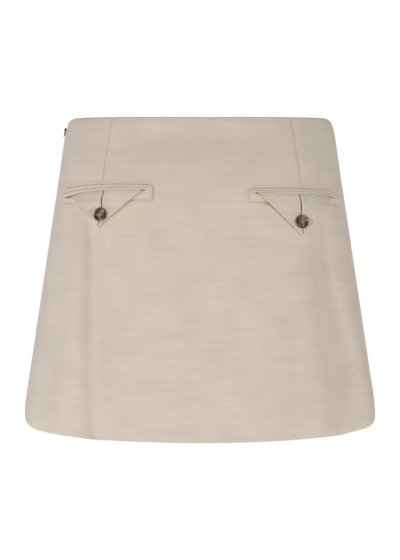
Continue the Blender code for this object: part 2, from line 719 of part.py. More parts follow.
def shorts_point(turn, down, seam):
    """A point of the right half, which runs from the waist or the centre seam to the leg's end."""
    if abs(turn) <= SEAM_TURN:
        side = "front" if turn > 0 else "back"
        part = (1 - abs(turn) / SEAM_TURN) * (-1 if side == "front" else 1)
        start = edge_height(TOP_EDGE[side], part) - SHORTS_BELOW_TOP
        height = start + (LEG_END - start) * down
        normal = form_normal(side, part, height)
        body = form_point(side, part, height) - normal * shorts_inset(height)
        body.x = max(body.x, SEAM_GAP / 2)
        body.z = height
    else:
        share = (turn - SEAM_TURN) / (2 * math.pi - 2 * SEAM_TURN)
        y, start = point_along(seam, share)
        height = start + (LEG_END - start) * down
        side = "front" if y > 0 else "back"
        y *= centre_depth(side, height) / centre_depth(side, start)
        body = Vector((SEAM_GAP / 2, y, height))
    return body.lerp(leg_point(turn, height), smooth(down))


def build_shorts(side_turn, group):
    """One half of the inner shorts: a leg, open at the waist, the centre seam and its end."""
    seam = crotch_curve()
    outer = even_steps(-SEAM_TURN, SEAM_TURN, SHORTS_OUTER_COLUMNS)
    inner = even_steps(SEAM_TURN, 2 * math.pi - SEAM_TURN, SHORTS_INNER_COLUMNS)
    turns = outer + inner[1:-1] + outer[:1]
    if side_turn < 0:
        turns.reverse()

    def shape(turn, up):
        point = shorts_point(turn, 1 - up, seam)
        point.x *= side_turn
        return point

    name = "shorts_right" if side_turn > 0 else "shorts_left"
    material = surface_material(name, colour=(0.58, 0.50, 0.43), roughness=0.8)
    rows = [1 - down for down in reversed(SHORTS_ROWS)]
    bm = shaped_grid(turns, rows, shape)
    bmesh.ops.remove_doubles(bm, verts=bm.verts, dist=MERGE_DISTANCE)
    bmesh.ops.solidify(bm, geom=bm.faces[:], thickness=SHORTS_THICKNESS)
    for vert in bm.verts:
        vert.co.x = side_turn * max(side_turn * vert.co.x, SEAM_GAP / 2)
    half = mesh_object(name, bm, material, group)
    half.data.shade_smooth()


# ---------------------------------------------------------------- the garment
clear_scene()
skort = collection("skort")
cutters = collection("cutters")
for side in ("back", "front"):
    build_panel(side, skort)
for pocket in POCKETS:
    build_welt(pocket, "upper", skort)
    build_welt(pocket, "lower", skort)
    build_flap(pocket, skort)
    build_button(pocket, skort, cutters)
build_zip_tape(skort)
build_zip_slider(skort, cutters)
build_pull_tab(skort, cutters)
for side_turn in (-1, 1):
    build_shorts(side_turn, skort)
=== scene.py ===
"""A-line mini skort with two back welt pockets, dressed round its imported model.

Metres, +Z up, the wearer faces +Y. The sections follow the garment as it is put
together: back, front, pocket welts, flaps, buttons, topstitching, zip and shorts,
and then the room that it hangs in.
"""

import math

import bpy
import numpy as np
from mathutils import Matrix, Vector


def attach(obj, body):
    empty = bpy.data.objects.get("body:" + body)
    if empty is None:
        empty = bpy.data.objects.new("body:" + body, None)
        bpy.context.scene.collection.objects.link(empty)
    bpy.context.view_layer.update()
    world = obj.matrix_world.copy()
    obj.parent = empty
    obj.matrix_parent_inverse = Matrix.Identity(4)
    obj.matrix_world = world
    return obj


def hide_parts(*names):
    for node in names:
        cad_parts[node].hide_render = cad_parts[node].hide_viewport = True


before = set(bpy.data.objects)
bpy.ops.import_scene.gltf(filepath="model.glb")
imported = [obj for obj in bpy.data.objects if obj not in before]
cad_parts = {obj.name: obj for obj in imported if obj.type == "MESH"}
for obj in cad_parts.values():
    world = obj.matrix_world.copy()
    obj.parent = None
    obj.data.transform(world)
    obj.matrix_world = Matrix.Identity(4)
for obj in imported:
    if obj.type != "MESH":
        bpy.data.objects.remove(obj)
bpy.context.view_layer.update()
MM = 0.001

# ================================================================ camera
# The picture is taken square from behind, level with the middle of the skort, from a
# little over two metres away with a long lens.
CAMERA_PLACE = (0, -2.320, -0.181)
CAMERA_LENS = 128.57
SENSOR_WIDTH = 36
bpy.ops.object.camera_add(location=CAMERA_PLACE, rotation=(math.pi / 2, 0, 0))
camera = bpy.context.object
camera.name = "photo_camera"
camera.data.lens = CAMERA_LENS
camera.data.sensor_width = SENSOR_WIDTH
bpy.context.scene.camera = camera

# ================================================================ skirt back
# One panel of brushed beige cotton twill from side seam to side seam, shaped by two
# darts under the waist. It is sewn to the front at the side seams, turned in along the
# top edge, and its hem is turned up and caught by hand.
CLOTH_THICKNESS = 1.5 * MM
SEAM_GAP = 0.3 * MM
FORM = {
    "height": (5, 0, -14, -60, -120, -190, -280, -325, -345, -360),
    "half_width": (149.8, 152.4, 155.8, 162.4, 171.4, 181.9, 195.3, 201.7, 201.2, 195.5),
    "back": (101, 102, 104.5, 114, 119.5, 122.5, 128, 130.5, 131.5, 132),
    "front": (97, 98, 99.5, 104, 110, 115, 121, 123.5, 124.5, 125),
}
SECTION_ROUNDNESS = 2.5
# Height at the centre, bow towards the seams, and the turn near them with its start.
TOP_EDGE = {"back": (0, 5.4, -8.8, 0.78), "front": (-6, 2.6, 0, 0.78)}
HEM = {"back": (-359.6, 17.0, 6, 0.72), "front": (-352, 11.0, 4.4, 0.72)}
# Main folds: start height, place round at the start and at the hem, bend of that line, width at
# both, how many times wider the left side is, depth at both, and the drop in which it sets in.
FOLDS = {
    "back": (
        (-100, (-0.54, -0.455), 1.0, (9, 20), 1.05, (4.0, 11.5), 22),
        (-100, (0.58, 0.69), 2.0, (8, 26), 1.1, (5.0, 13.5), 20),
        (-140, (0.66, 0.83), 1.0, (16, 16), 1.0, (-1.8, -1.8), 90),
        (-210, (-0.75, -0.70), 1.0, (18, 18), 1.0, (-1.5, -1.5), 90),
    ),
    "front": (
        (-130, (-0.50, -0.56), 1.0, (19, 19), 1.0, (5.0, 5.0), 120),
        (-150, (0.46, 0.49), 1.0, (18, 18), 1.0, (4.4, 4.4), 120),
        (-215, (-0.06, -0.10), 1.0, (24, 24), 1.0, (3.0, 3.0), 120),
    ),
}
# Darts: place round at the top and at the point, and length.
DARTS = {
    "back": ((-0.4755, -0.4825, 78), (0.4975, 0.5005, 82)),
    "front": ((-0.492, -0.50, 85), (0.492, 0.50, 85)),
}
# Small creases: distance from the centre along the cloth, height, half length, half
# width, slope in degrees and depth (a ridge is below 0).
CREASES = {
    "back": (
        (-94, -37, 9, 4, -4, 0.45),
        (-62, -30, 26, 9, 3, 0.25),
        (4, -22, 100, 15, 1, 1.5),
        (-52, -60, 40, 11, -3, 0.5),
        (12, -84, 34, 15, 0, -0.7),
        (-34, -331, 18, 3.2, 4, 0.35),
        (-20, -325, 22, 3.0, 3, -0.3),
        (40, -240, 60, 10, 8, 0.25),
        (-50, -190, 55, 9, -6, 0.22),
        (20, -300, 75, 8, 2, 0.22),
        (95, -215, 26, 10, 62, 0.4),
        (-150, -160, 20, 8, 70, 0.35),
        (175, -180, 24, 9, -70, 0.4),
        (205, -300, 24, 9, 80, 0.4),
        (-200, -250, 24, 10, 80, 0.35),
    ),
    "front": (
        (10, -44, 90, 14, -2, 0.8),
        (-60, -70, 46, 11, 5, 0.5),
        (72, -96, 40, 10, -8, 0.45),
        (-20, -170, 60, 10, 5, 0.3),
        (60, -230, 46, 9, -7, 0.3),
        (-110, -200, 26, 10, 68, 0.45),
        (120, -170, 26, 9, -70, 0.4),
        (0, -320, 60, 5, 2, 0.3),
        (-190, -260, 22, 9, 80, 0.35),
        (186, -240, 24, 9, -80, 0.35),
    ),
}
HEM_SAG = 0.15      # of the hem under a fold, as a share of its depth
HEM_TURN_UP = 30 * MM
SEAM_ALLOWANCE = 12 * MM
TURNING = 0.6 * MM
# A dart's relief: distance from its line, on the side of the fold, half width and height in mm.
DART_LINE = (1.0, -0.72)
DART_RELIEF = ((0, 6, -0.35), (3.6, 2.6, 0.28))
SEAM_RELIEF = (1.3 * MM, 0.45 * MM)     # half width and depth
# Edges of a panel: reach and depth of the rolled top edge and hem, and distance from the edge,
# half width and depth of the faint line where its turning is caught.
TOP_ROLL, HEM_ROLL = (2.2 * MM, 1.1 * MM), (1.4 * MM, 0.45 * MM)
TOP_LINE, HEM_LINE = (2.6 * MM, 0.7 * MM, 0.14 * MM), (HEM_TURN_UP, 1.5 * MM, 0.10 * MM)
DART_SPREAD = 0.06      # share of the panel within which its columns follow a dart
ZIP_SEAM_END = -205 * MM        # below it, the zip's seam has its allowances again


def smooth(share):
    """0 below 0, 1 above 1, and a soft step between."""
    share = np.clip(share, 0.0, 1.0)
    return share * share * (3 - 2 * share)


def bell(distance, half_width):
    """1 at no distance, falling softly to almost 0 at twice the half width."""
    return np.exp(-((distance / half_width) ** 2))


def between(ends, share):
    """A value this share of the way from the first to the second."""
    return ends[0] + (ends[1] - ends[0]) * share


def on_curve(levels, values, height):
    """A table's column at these heights, on a smooth curve through its rows."""
    levels, values = np.array(levels) * MM, np.array(values) * MM
    rows = np.arange(len(levels))
    above, below = np.maximum(rows - 1, 0), np.minimum(rows + 1, rows[-1])
    slopes = (values[below] - values[above]) / (levels[below] - levels[above])
    step = np.clip(np.searchsorted(-levels, -height, side="right") - 1, 0, rows[-1] - 1)
    drop = levels[step + 1] - levels[step]
    part = (height - levels[step]) / drop
    inside = np.clip(part, 0, 1)
    square, cube = inside**2, inside**3
    value = (2 * cube - 3 * square + 1) * values[step] + (cube - 2 * square + inside) * slopes[step] * drop
    value = value + (3 * square - 2 * cube) * values[step + 1] + (cube - square) * slopes[step + 1] * drop
    over = np.maximum(part - 1, 0) * slopes[step + 1] + np.minimum(part, 0) * slopes[step]
    return value + over * drop


LEVELS = np.arange(14, -376, -0.5) * MM
PARTS = np.linspace(0, 1, 401)


def sections(side):
    """x, depth and length of a quarter of the worn form, for each level and part of the way round."""
    turn = np.linspace(0, math.pi / 2, 601)
    across, along = np.sin(turn), np.abs(np.cos(turn))
    reach = (across**SECTION_ROUNDNESS + along**SECTION_ROUNDNESS) ** (-1 / SECTION_ROUNDNESS)
    x = on_curve(FORM["height"], FORM["half_width"], LEVELS)[:, None] * (reach * across)
    depth = on_curve(FORM["height"], FORM[side], LEVELS)[:, None] * (reach * along)
    steps = np.hypot(np.diff(x), np.diff(depth))
    arc = np.concatenate([np.zeros((len(LEVELS), 1)), np.cumsum(steps, axis=1)], axis=1)
    at = [(np.interp(PARTS * a[-1], a, row), np.interp(PARTS * a[-1], a, deep)) for a, row, deep in zip(arc, x, depth)]
    return np.array([row for row, _ in at]), np.array([deep for _, deep in at]), arc[:, -1]


WORN = {side: sections(side) for side in ("back", "front")}


def girth(side, height):
    """Length of the cloth from the centre of a side to its seam, at these heights."""
    return np.interp(-height, -LEVELS, WORN[side][2])


def form_points(side, part, height):
    """Points of the form, this part of the way from the centre of a side to its seams."""
    part, height = np.broadcast_arrays(part, height)
    x_table, depth_table, _ = WORN[side]
    row = np.clip((LEVELS[0] - height) / (LEVELS[0] - LEVELS[1]), 0, len(LEVELS) - 1.001)
    column = np.clip(np.abs(part), 0, 1) * (len(PARTS) - 1.001)
    r, c = row.astype(int), column.astype(int)
    dr, dc = row - r, column - c

    def read(table):
        upper = table[r, c] * (1 - dc) + table[r, c + 1] * dc
        return upper * (1 - dr) + (table[r + 1, c] * (1 - dc) + table[r + 1, c + 1] * dc) * dr

    facing = -1 if side == "back" else 1
    return np.stack([-facing * np.copysign(read(x_table), part), facing * read(depth_table), height], axis=-1)


def form_normals(side, part, height):
    """Outward direction of the form at these places."""
    part, height = np.broadcast_arrays(part, height)
    inside = np.clip(part, -0.985, 0.985)
    across = form_points(side, inside + 0.015, height) - form_points(side, inside - 0.015, height)
    up = form_points(side, part, height + 2 * MM) - form_points(side, part, height - 2 * MM)
    at_seam = np.zeros_like(across)
    at_seam[..., 1] = np.copysign(1, part) * (1 if side == "back" else -1)
    across = np.where((np.abs(part) > 0.9925)[..., None], at_seam, across)
    normal = np.cross(across, up)
    return normal / np.linalg.norm(normal, axis=-1, keepdims=True)


def folded(side, part, height):
    """How far the main folds move the cloth out of the plain form."""
    around = girth(side, height)
    moved = np.zeros(np.broadcast(part, height).shape)
    for start, line, bend, widths, lean, depths, fade in FOLDS[side]:
        drop = np.clip((start * MM - height) / (start - HEM[side][0]) / MM, 0, None)
        away = (part - between(line, drop**bend)) * around
        wide = between(widths, drop) * MM * np.where(away < 0, lean, 1.0)
        moved -= between(depths, drop) * MM * bell(away, wide) * smooth((start * MM - height) / (fade * MM))
    return moved


def dart_line(dart, height):
    """Place round of a dart's line at these heights."""
    return between(dart, np.clip(-height / (dart[2] * MM), 0, 1))


def dart_relief(side, part, height):
    """How far the darts move the cloth out: a narrow line in a faint dip."""
    moved = np.zeros(np.broadcast(part, height).shape)
    for dart in DARTS[side]:
        # the fold of the dart lies towards the centre, so that side stands a little higher
        away = (part - dart_line(dart, height)) * girth(side, height) * math.copysign(1, -dart[0])
        shown = smooth((height + dart[2] * MM) / (10 * MM))
        moved += DART_LINE[1] * MM * np.maximum(0, 1 - np.abs(away) / (DART_LINE[0] * MM)) * shown
        for middle, wide, high in DART_RELIEF:
            moved += high * MM * bell(away - middle * MM, wide * MM) * shown
    return moved


def relief(side, part, height):
    """How far folds, darts, creases, seams and edges move the cloth out of the plain form."""
    around = girth(side, height)
    moved = folded(side, part, height) + dart_relief(side, part, height)
    for along, level, long, wide, slope, depth in CREASES[side]:
        run, rise = part * around - along * MM, height - level * MM
        turn = math.radians(slope)
        lengthwise = (run * math.cos(turn) + rise * math.sin(turn)) / (long * MM)
        crosswise = (rise * math.cos(turn) - run * math.sin(turn)) / (wide * MM)
        moved -= depth * MM * np.exp(-(lengthwise**2) - crosswise**2)
    from_seam = (1 - np.abs(part)) * around
    return moved - SEAM_RELIEF[1] * bell(from_seam, SEAM_RELIEF[0])


def cloth_points(side, part, height, out=0.0):
    """Points this far out of the skirt's outer surface."""
    out = np.asarray(out + relief(side, part, height))
    return form_points(side, part, height) + form_normals(side, part, height) * out[..., None]


def edge_height(edge, part):
    """Height of a top edge or hem."""
    centre, bow, turn, start = edge
    return (centre + bow * part**2 + turn * smooth((np.abs(part) - start) / (1 - start))) * MM


def hem_height(side, part):
    """Height of the hem, lower where a fold moves it inwards, so that it still runs level."""
    height = edge_height(HEM[side], part)
    normal, inwards = form_normals(side, part, height), -folded(side, part, height)
    moved = inwards * np.abs(normal[..., 0]) / np.maximum(np.abs(normal[..., 1]), 0.3) / girth(side, height)
    return edge_height(HEM[side], np.abs(part) - moved) - (HEM_SAG - normal[..., 2]) * inwards


def vertices_of(piece):
    """The places of a piece's vertices."""
    places = np.empty(len(piece.data.vertices) * 3)
    piece.data.vertices.foreach_get("co", places)
    return places.reshape(-1, 3)


def new_piece(name):
    """The object that an operator has just made, under its name."""
    piece = bpy.context.object
    piece.name = piece.data.name = name
    return piece


def new_grid(name, columns, rows):
    """A flat grid primitive with that many vertices each way, and the column and row of each vertex."""
    bpy.ops.mesh.primitive_grid_add(x_subdivisions=columns - 1, y_subdivisions=rows - 1, size=2)
    piece = new_piece(name)
    places = vertices_of(piece)
    column = np.rint((places[:, 0] + 1) / 2 * (columns - 1)).astype(int)
    row = np.rint((places[:, 1] + 1) / 2 * (rows - 1)).astype(int)
    return piece, column, row


def move_vertices(piece, points):
    """Put the vertices at these points."""
    piece.data.vertices.foreach_set("co", np.asarray(points, np.float32).ravel())
    piece.data.update()


def lay_map(piece, across, up):
    """The piece's UV map, in metres along and up its cloth."""
    vertex = np.empty(len(piece.data.loops), int)
    piece.data.loops.foreach_get("vertex_index", vertex)
    layer = piece.data.uv_layers[0] if piece.data.uv_layers else piece.data.uv_layers.new()
    layer.name = "cloth"
    layer.data.foreach_set("uv", np.stack([across[vertex], up[vertex]], axis=1).astype(np.float32).ravel())


def edit_all(*steps):
    """Run mesh operators, each given with its settings, on the whole of the active piece."""
    bpy.ops.object.mode_set(mode="EDIT")
    for operator, settings in steps:
        bpy.ops.mesh.select_all(action="SELECT")
        operator(**settings)
    bpy.ops.object.mode_set(mode="OBJECT")


OUTWARDS = (bpy.ops.mesh.normals_make_consistent, {"inside": False})


def apply_modifiers(piece):
    """Apply all of a piece's modifiers, top to bottom."""
    bpy.ops.object.select_all(action="DESELECT")
    piece.select_set(True)
    bpy.context.view_layer.objects.active = piece
    for modifier in [modifier.name for modifier in piece.modifiers]:
        bpy.ops.object.modifier_apply(modifier=modifier)


def round_edges(piece, width, angle):
    """Give a piece a rounding of its edges that are sharper than this angle, for its modifiers' turn."""
    edges = piece.modifiers.new("edges", "BEVEL")
    edges.width, edges.segments = width, 2
    edges.limit_method, edges.angle_limit = "ANGLE", math.radians(angle)


def give_wall(piece, thickness, rounding):
    """Turn an open sheet into a wall inwards, with rounded cut edges; its inner vertices come second."""
    wall = piece.modifiers.new("wall", "SOLIDIFY")
    wall.thickness, wall.offset = thickness, -1
    wall.use_even_offset, wall.material_offset = True, 1
    apply_modifiers(piece)
    round_edges(piece, rounding, 50)


def in_steps(start, end, step):
    """Even steps from start to end, each about this long."""
    return np.linspace(start, end, max(2, round(abs(end - start) / step) + 1))


def panel_columns(side):
    """Places round of a panel's columns: closer at the seams and on the dart lines."""
    half = girth(side, np.array(-150 * MM))
    near_seam = 1 - np.array([0.15, 0.6, 1.1, 1.8, 2.8, 4.2, 6.0]) * MM / half
    columns = set(np.concatenate([near_seam, -near_seam]))
    for _, place, _ in DARTS[side]:
        columns.update(place + np.array([-4.2, -2.4, -1.0, -0.5, 0, 0.5, 1.0, 2.4, 4.2]) * MM / half)
    limit = near_seam.min()
    for place in in_steps(-limit, limit, 2.35 * MM / half):
        if min(abs(place - other) for other in columns) > 1.2 * MM / half:
            columns.add(place)
    return np.array(sorted(columns))


def panel_rows(side):
    """Heights of a panel's rows at its centre, as shares from hem to top: closer at the edges and pockets."""
    hem, top = HEM[side][0] * MM, TOP_EDGE[side][0] * MM
    by_pocket = in_steps(-104 * MM, -70 * MM, (1.0 if side == "back" else 2.4) * MM)
    parts = (
        hem + np.array([0, 0.5, 1.1, 1.9, 3.0, 4.5]) * MM,
        in_steps(hem + 6.5 * MM, hem + HEM_TURN_UP - 0.4 * MM, 2.6 * MM),
        in_steps(hem + HEM_TURN_UP + 0.4 * MM, -106 * MM, 2.45 * MM),
        by_pocket,
        in_steps(-68 * MM, top - 6.5 * MM, 2.3 * MM),
        top - np.array([4.6, 3.2, 2.4, 1.8, 1.2, 0.6, 0]) * MM,
    )
    return (np.concatenate(parts) - hem) / (top - hem)


def make_panel(side, name):
    """The back or front of the skirt, as a wall with its turnings on the inner face."""
    columns, rows = panel_columns(side), panel_rows(side)
    piece, column, row = new_grid(name, len(columns), len(rows))
    part, up = columns[column], rows[row]
    top, hem = edge_height(TOP_EDGE[side], part), hem_height(side, part)
    height = hem + (top - hem) * up
    for dart in DARTS[side]:
        part = part + (dart_line(dart, height) - dart[1]) * bell(columns[column] - dart[1], DART_SPREAD)
    edge_drop, hem_rise, around = top - height, height - hem, girth(side, height)
    out = np.zeros(len(part))
    turned_in = (edge_drop, TOP_ROLL, TOP_LINE), (hem_rise, HEM_ROLL, HEM_LINE)
    for away, (reach, roll), (middle, wide, depth) in turned_in:
        out -= roll * np.maximum(0, 1 - away / reach) ** 2 + depth * bell(away - middle, wide)
    out += pocket_ridges(part * around, height) if side == "back" else 0
    move_vertices(piece, cloth_points(side, part, height, out))
    lay_map(piece, part * around, height)
    give_wall(piece, CLOTH_THICKNESS, 0.42 * MM)
    places = vertices_of(piece)
    inner = places[len(part):2 * len(part)]
    # the darts' lines are pressed flat on the inner face
    pressed = dart_relief(side, part, height)
    flat = cloth_points(side, part, height, out - pressed - CLOTH_THICKNESS)
    by_dart = (pressed < -0.05 * MM) & (edge_drop > 0.1 * MM)
    inner[by_dart] = flat[by_dart]
    from_seam = (1 - np.abs(part)) * around
    zip_side = part < 0 if side == "back" else part > 0
    allowance = smooth((-height - 24 * MM) / (10 * MM)) * (from_seam < SEAM_ALLOWANCE)
    allowance *= ~(zip_side & (height > ZIP_SEAM_END))
    turned = np.maximum(allowance, hem_rise < HEM_TURN_UP)
    at_rim = (from_seam < 0.3 * MM) | (hem_rise < 0.2 * MM)
    inner -= form_normals(side, part, height) * (TURNING * turned * ~at_rim)[:, None]
    move_vertices(piece, places)
    apply_modifiers(piece)
    bpy.ops.object.shade_smooth()
    return piece


# Lines of the pockets, as height in mm at the inner end, middle and outer end.
POCKETS = {
    "left": dict(turn=-1, inner=51.7, outer=169, top=(-76.4, -74.6, -77.4), mouth=(-81.8, -81.6, -88.6),
                 bottom=(-92.2, -92.2, -94.3), flap_inner=63.6, flap_outer=153, tip=(115.4, -122.6),
                 button=(111.8, -108.7)),
    "right": dict(turn=1, inner=53.6, outer=177, top=(-80.4, -79.6, -82.7), mouth=(-84.6, -85.4, -88.4),
                  bottom=(-93.6, -96.0, -94.6), flap_inner=64.3, flap_outer=158, tip=(116, -132.0),
                  button=(114.6, -116.6)),
}
# Relief of the panel along a pocket: its line, height above it, half width and height in mm.
POCKET_RELIEF = (("top", 1.7, 1.1, 0.5), ("top", -0.3, 0.75, -0.4), ("bottom", -0.5, 0.9, -1.1))
MOUTH_RELIEF = (("mouth", -0.7, 1.1, -2.6),)


def pocket_line(pocket, line, along):
    """Height of a pocket line at distances from centre back, in metres."""
    inner, middle, outer = pocket[line]
    share = (along / MM - pocket["inner"]) / (pocket["outer"] - pocket["inner"])
    return (inner * (1 - share) * (1 - 2 * share) + middle * 4 * share * (1 - share)
            + outer * share * (2 * share - 1)) * MM


def pocket_ridges(along, height):
    """The ridge of panel cloth above each pocket's upper seam, and the cut mouth that sinks inwards."""
    raised = np.zeros(len(along))
    for pocket in POCKETS.values():
        run = pocket["turn"] * along
        share = (run / MM - pocket["inner"]) / (pocket["outer"] - pocket["inner"])
        shown = smooth(share / 0.012) * smooth((1 - share) / 0.05)
        cut = smooth((run / MM - pocket["inner"] - 7) / 3) * smooth((pocket["outer"] - 3 - run / MM) / 3)
        for rows, part in ((POCKET_RELIEF, shown), (MOUTH_RELIEF, cut)):
            for line, middle, wide, high in rows:
                above = height - pocket_line(pocket, line, run)
                raised += high * MM * bell(above - middle * MM, wide * MM) * part
    return raised


def feed(made, feeds):
    """Give a node's inputs their values, or link them to output sockets."""
    for into, source in feeds.items():
        if isinstance(source, bpy.types.NodeSocket):
            made.id_data.links.new(source, made.inputs[into])
        else:
            made.inputs[into].default_value = source


def node(tree, kind, place, feeds=(), **values):
    """A new shader node, with its settings and the values of its sockets, and what feeds its inputs."""
    made = tree.nodes.new(kind)
    made.location = place
    for name, value in values.items():
        if name in made.bl_rna.properties:
            setattr(made, name, value)
        else:
            made.inputs[name.replace("_", " ")].default_value = value
    feed(made, dict(feeds))
    return made


def new_material(name):
    """A new material, with its node tree and its shader."""
    material = bpy.data.materials.new(name)
    material.use_nodes = True
    return material, material.node_tree, material.node_tree.nodes["Principled BSDF"]


def brushed_weave_group():
    """Twill with a brushed face: fine diagonal ribs, long slubs across, cloudy fibres."""
    tree = bpy.data.node_groups.new("brushed weave", "ShaderNodeTree")
    for name, way, kind in (("Cloth", "INPUT", "Vector"), ("Thread", "INPUT", "Float"), ("Slub", "INPUT", "Float"),
                            ("Cloud", "INPUT", "Float"), ("Tone", "INPUT", "Float"), ("Light", "INPUT", "Color"),
                            ("Dark", "INPUT", "Color"), ("Colour", "OUTPUT", "Color"),
                            ("Roughness", "OUTPUT", "Float"), ("Height", "OUTPUT", "Float")):
        tree.interface.new_socket(name, in_out=way, socket_type="NodeSocket" + kind)

    def maths(operation, place, *feeds, **values):
        return node(tree, "ShaderNodeMath", place, enumerate(feeds), operation=operation, **values).outputs[0]

    def noise(place, where, **values):
        return node(tree, "ShaderNodeTexNoise", place, {"Vector": where}, noise_dimensions="2D", **values).outputs[0]

    given = node(tree, "NodeGroupInput", (-1400, 0)).outputs
    # ribs: both thread directions, and the diagonal of the twill
    per_thread = maths("DIVIDE", (-1180, 300), 1.0, given["Thread"])
    counted = node(tree, "ShaderNodeVectorMath", (-1000, 200), operation="SCALE")
    feed(counted, {0: given["Cloth"], "Scale": per_thread})
    split = node(tree, "ShaderNodeSeparateXYZ", (-820, 200), {0: counted.outputs[0]}).outputs
    turns = maths("MULTIPLY", (-480, 260), maths("ADD", (-640, 260), split["X"], split["Y"]), math.pi)
    picks = maths("MULTIPLY", (-480, 100), split["Y"], 2 * math.pi)
    rib, pick = maths("SINE", (-320, 260), turns), maths("SINE", (-320, 100), picks)
    weave = maths("MULTIPLY_ADD", (-150, 200), pick, 0.35, rib)
    # slubs: noise drawn out along the weft
    cloth = {"Vector": given["Cloth"]}
    drawn, broad = (node(tree, "ShaderNodeMapping", (-1000, level), cloth, Scale=scale).outputs[0]
                    for level, scale in ((-60, (45, 900, 1)), (-360, (14, 260, 1))))
    slub = noise((-800, -60), drawn, Scale=1.0, Detail=3.0, Roughness=0.55)
    streak = noise((-800, -360), broad, Scale=1.0, Detail=4.0, Roughness=0.6)
    clouds = noise((-800, -640), given["Cloth"], Scale=26.0, Detail=5.0, Roughness=0.6)
    fibre = noise((-800, -900), given["Cloth"], Scale=2600.0, Detail=2.0)
    centred = maths("SUBTRACT", (-560, -60), maths("ADD", (-560, -200), slub, streak), 1.0)
    slubbed = maths("MULTIPLY", (-400, -200), centred, given["Slub"])
    cloudy = maths("MULTIPLY", (-240, -500), maths("SUBTRACT", (-400, -560), clouds, 0.5), given["Cloud"])
    toned = maths("ADD", (100, -300), maths("ADD", (-60, -300), slubbed, cloudy), given["Tone"])
    woven = maths("MULTIPLY_ADD", (260, -200), weave, 0.05, toned, use_clamp=True)
    colour = node(tree, "ShaderNodeMix", (460, -100), data_type="RGBA")
    feed(colour, {"Factor": woven, "A": given["Dark"], "B": given["Light"]})
    rough = node(tree, "ShaderNodeMapRange", (460, -420), {"Value": woven, "To Min": 0.78, "To Max": 0.95})
    fuzz = maths("MULTIPLY_ADD", (100, 120), fibre, 0.5, weave)
    high = maths("ADD", (300, 160), fuzz, slubbed)
    node(tree, "NodeGroupOutput", (900, 0),
         {"Colour": colour.outputs["Result"], "Roughness": rough.outputs[0], "Height": high})
    return tree


BRUSHED_WEAVE = brushed_weave_group()


def cloth_material(name, light, dark, thread=0.55 * MM, slub=0.55, cloud=0.8, relief_depth=0.12 * MM, sheen=0.25):
    """A woven cloth: the shared weave with this piece's colours, thread and relief."""
    material, tree, shader = new_material(name)
    where = node(tree, "ShaderNodeUVMap", (-900, 0), uv_map="cloth").outputs[0]
    weave = node(tree, "ShaderNodeGroup", (-640, 0), node_tree=BRUSHED_WEAVE)
    feed(weave, {"Cloth": where, "Thread": thread, "Slub": slub, "Cloud": cloud, "Tone": 0.5,
                 "Light": (*light, 1), "Dark": (*dark, 1)})
    bump = node(tree, "ShaderNodeBump", (-300, -240), {"Height": weave.outputs["Height"]}, Strength=0.7,
                Distance=relief_depth)
    feed(shader, {"Base Color": weave.outputs["Colour"], "Roughness": weave.outputs["Roughness"],
                  "Normal": bump.outputs[0], "Sheen Weight": sheen, "Sheen Roughness": 0.45,
                  "Sheen Tint": (1.0, 0.97, 0.93, 1), "Specular IOR Level": 0.25})
    return material


SKIRT_FACE = cloth_material("brushed_twill_face", light=(0.665, 0.568, 0.488), dark=(0.535, 0.455, 0.386), sheen=0.06)
SKIRT_INSIDE = cloth_material("brushed_twill_inside", light=(0.61, 0.525, 0.452), dark=(0.495, 0.422, 0.36),
                              sheen=0.05)


def dress(piece, body, slot, *materials):
    """Give a piece its materials and the body it rides on; its finish slot is not used."""
    piece.data.materials.clear()
    for material in materials:
        piece.data.materials.append(material)
    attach(piece, body)


skirt_back = make_panel("back", "skirt_back_cloth")
dress(skirt_back, "garment", "skirt_cloth", SKIRT_FACE, SKIRT_INSIDE)
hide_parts("skirt_back")

# ================================================================ skirt front
# The other panel of the same twill, with two darts under the waist and no pockets. The
# photograph doesn't show it, so it is plain, and hangs in folds like those of the back.
skirt_front = make_panel("front", "skirt_front_cloth")
dress(skirt_front, "garment", "skirt_cloth", SKIRT_FACE, SKIRT_INSIDE)
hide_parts("skirt_front")

# ================================================================ pocket welts
# Each pocket mouth is a slit between two folded strips of the same twill. The upper one
# is the thicker and hangs over the mouth; both are edge-stitched to the panel.
LAID_GAP = 0.35 * MM
# Where the mouth gapes beyond the flap's root: distance from centre back, half length and gap in mm.
MOUTH_GAPS = {"left": ((64.5, 3.2, 0.9), (157, 9, 1.4)), "right": ((63.5, 3.0, 0.9), (156.5, 4.5, 1.0))}
# Sections of the welts: share of the way up from the lower edge, and height off the panel in mm.
UPPER_WELT_SECTION = (
    (0.02, 0.0), (0.0, 0.5), (-0.02, 1.3), (0.03, 1.9), (0.12, 2.2), (0.28, 2.15), (0.44, 1.7), (0.53, 1.05),
    (0.57, 0.85), (0.61, 1.05), (0.72, 1.35), (0.86, 1.25), (0.95, 0.85), (0.99, 0.45), (1.0, 0.0), (0.5, 0.0),
)
LOWER_WELT_SECTION = (
    (0.0, 0.0), (0.01, 0.35), (0.05, 0.7), (0.12, 0.82), (0.19, 0.7), (0.23, 0.55), (0.27, 0.7), (0.36, 0.9),
    (0.6, 0.95), (0.85, 0.9), (0.95, 0.7), (0.99, 0.4), (1.0, 0.0), (0.5, 0.0),
)
# What shows of each strip's width, in mm: half of its cloth, since it is folded lengthwise.
WELT_SHOWN = {("left", "upper"): 9.1, ("left", "lower"): 9.9, ("right", "upper"): 7.3, ("right", "lower"): 9.9}
WELT_OVERLAP = 0.4 * MM     # of the lower strip over the mouth's line, beside the flap


def mouth_gap(side, along):
    """How far the mouth gapes at distances from centre back."""
    return sum(gap * MM * bell(along / MM - middle, half) for middle, half, gap in MOUTH_GAPS[side])


def back_points(along, height, out):
    """Points on the back, by distance from centre back along the cloth, height and distance off the panel."""
    part = along / girth("back", height)
    plain = np.asarray(out + folded("back", part, height))
    return form_points("back", part, height) + form_normals("back", part, height) * plain[..., None]


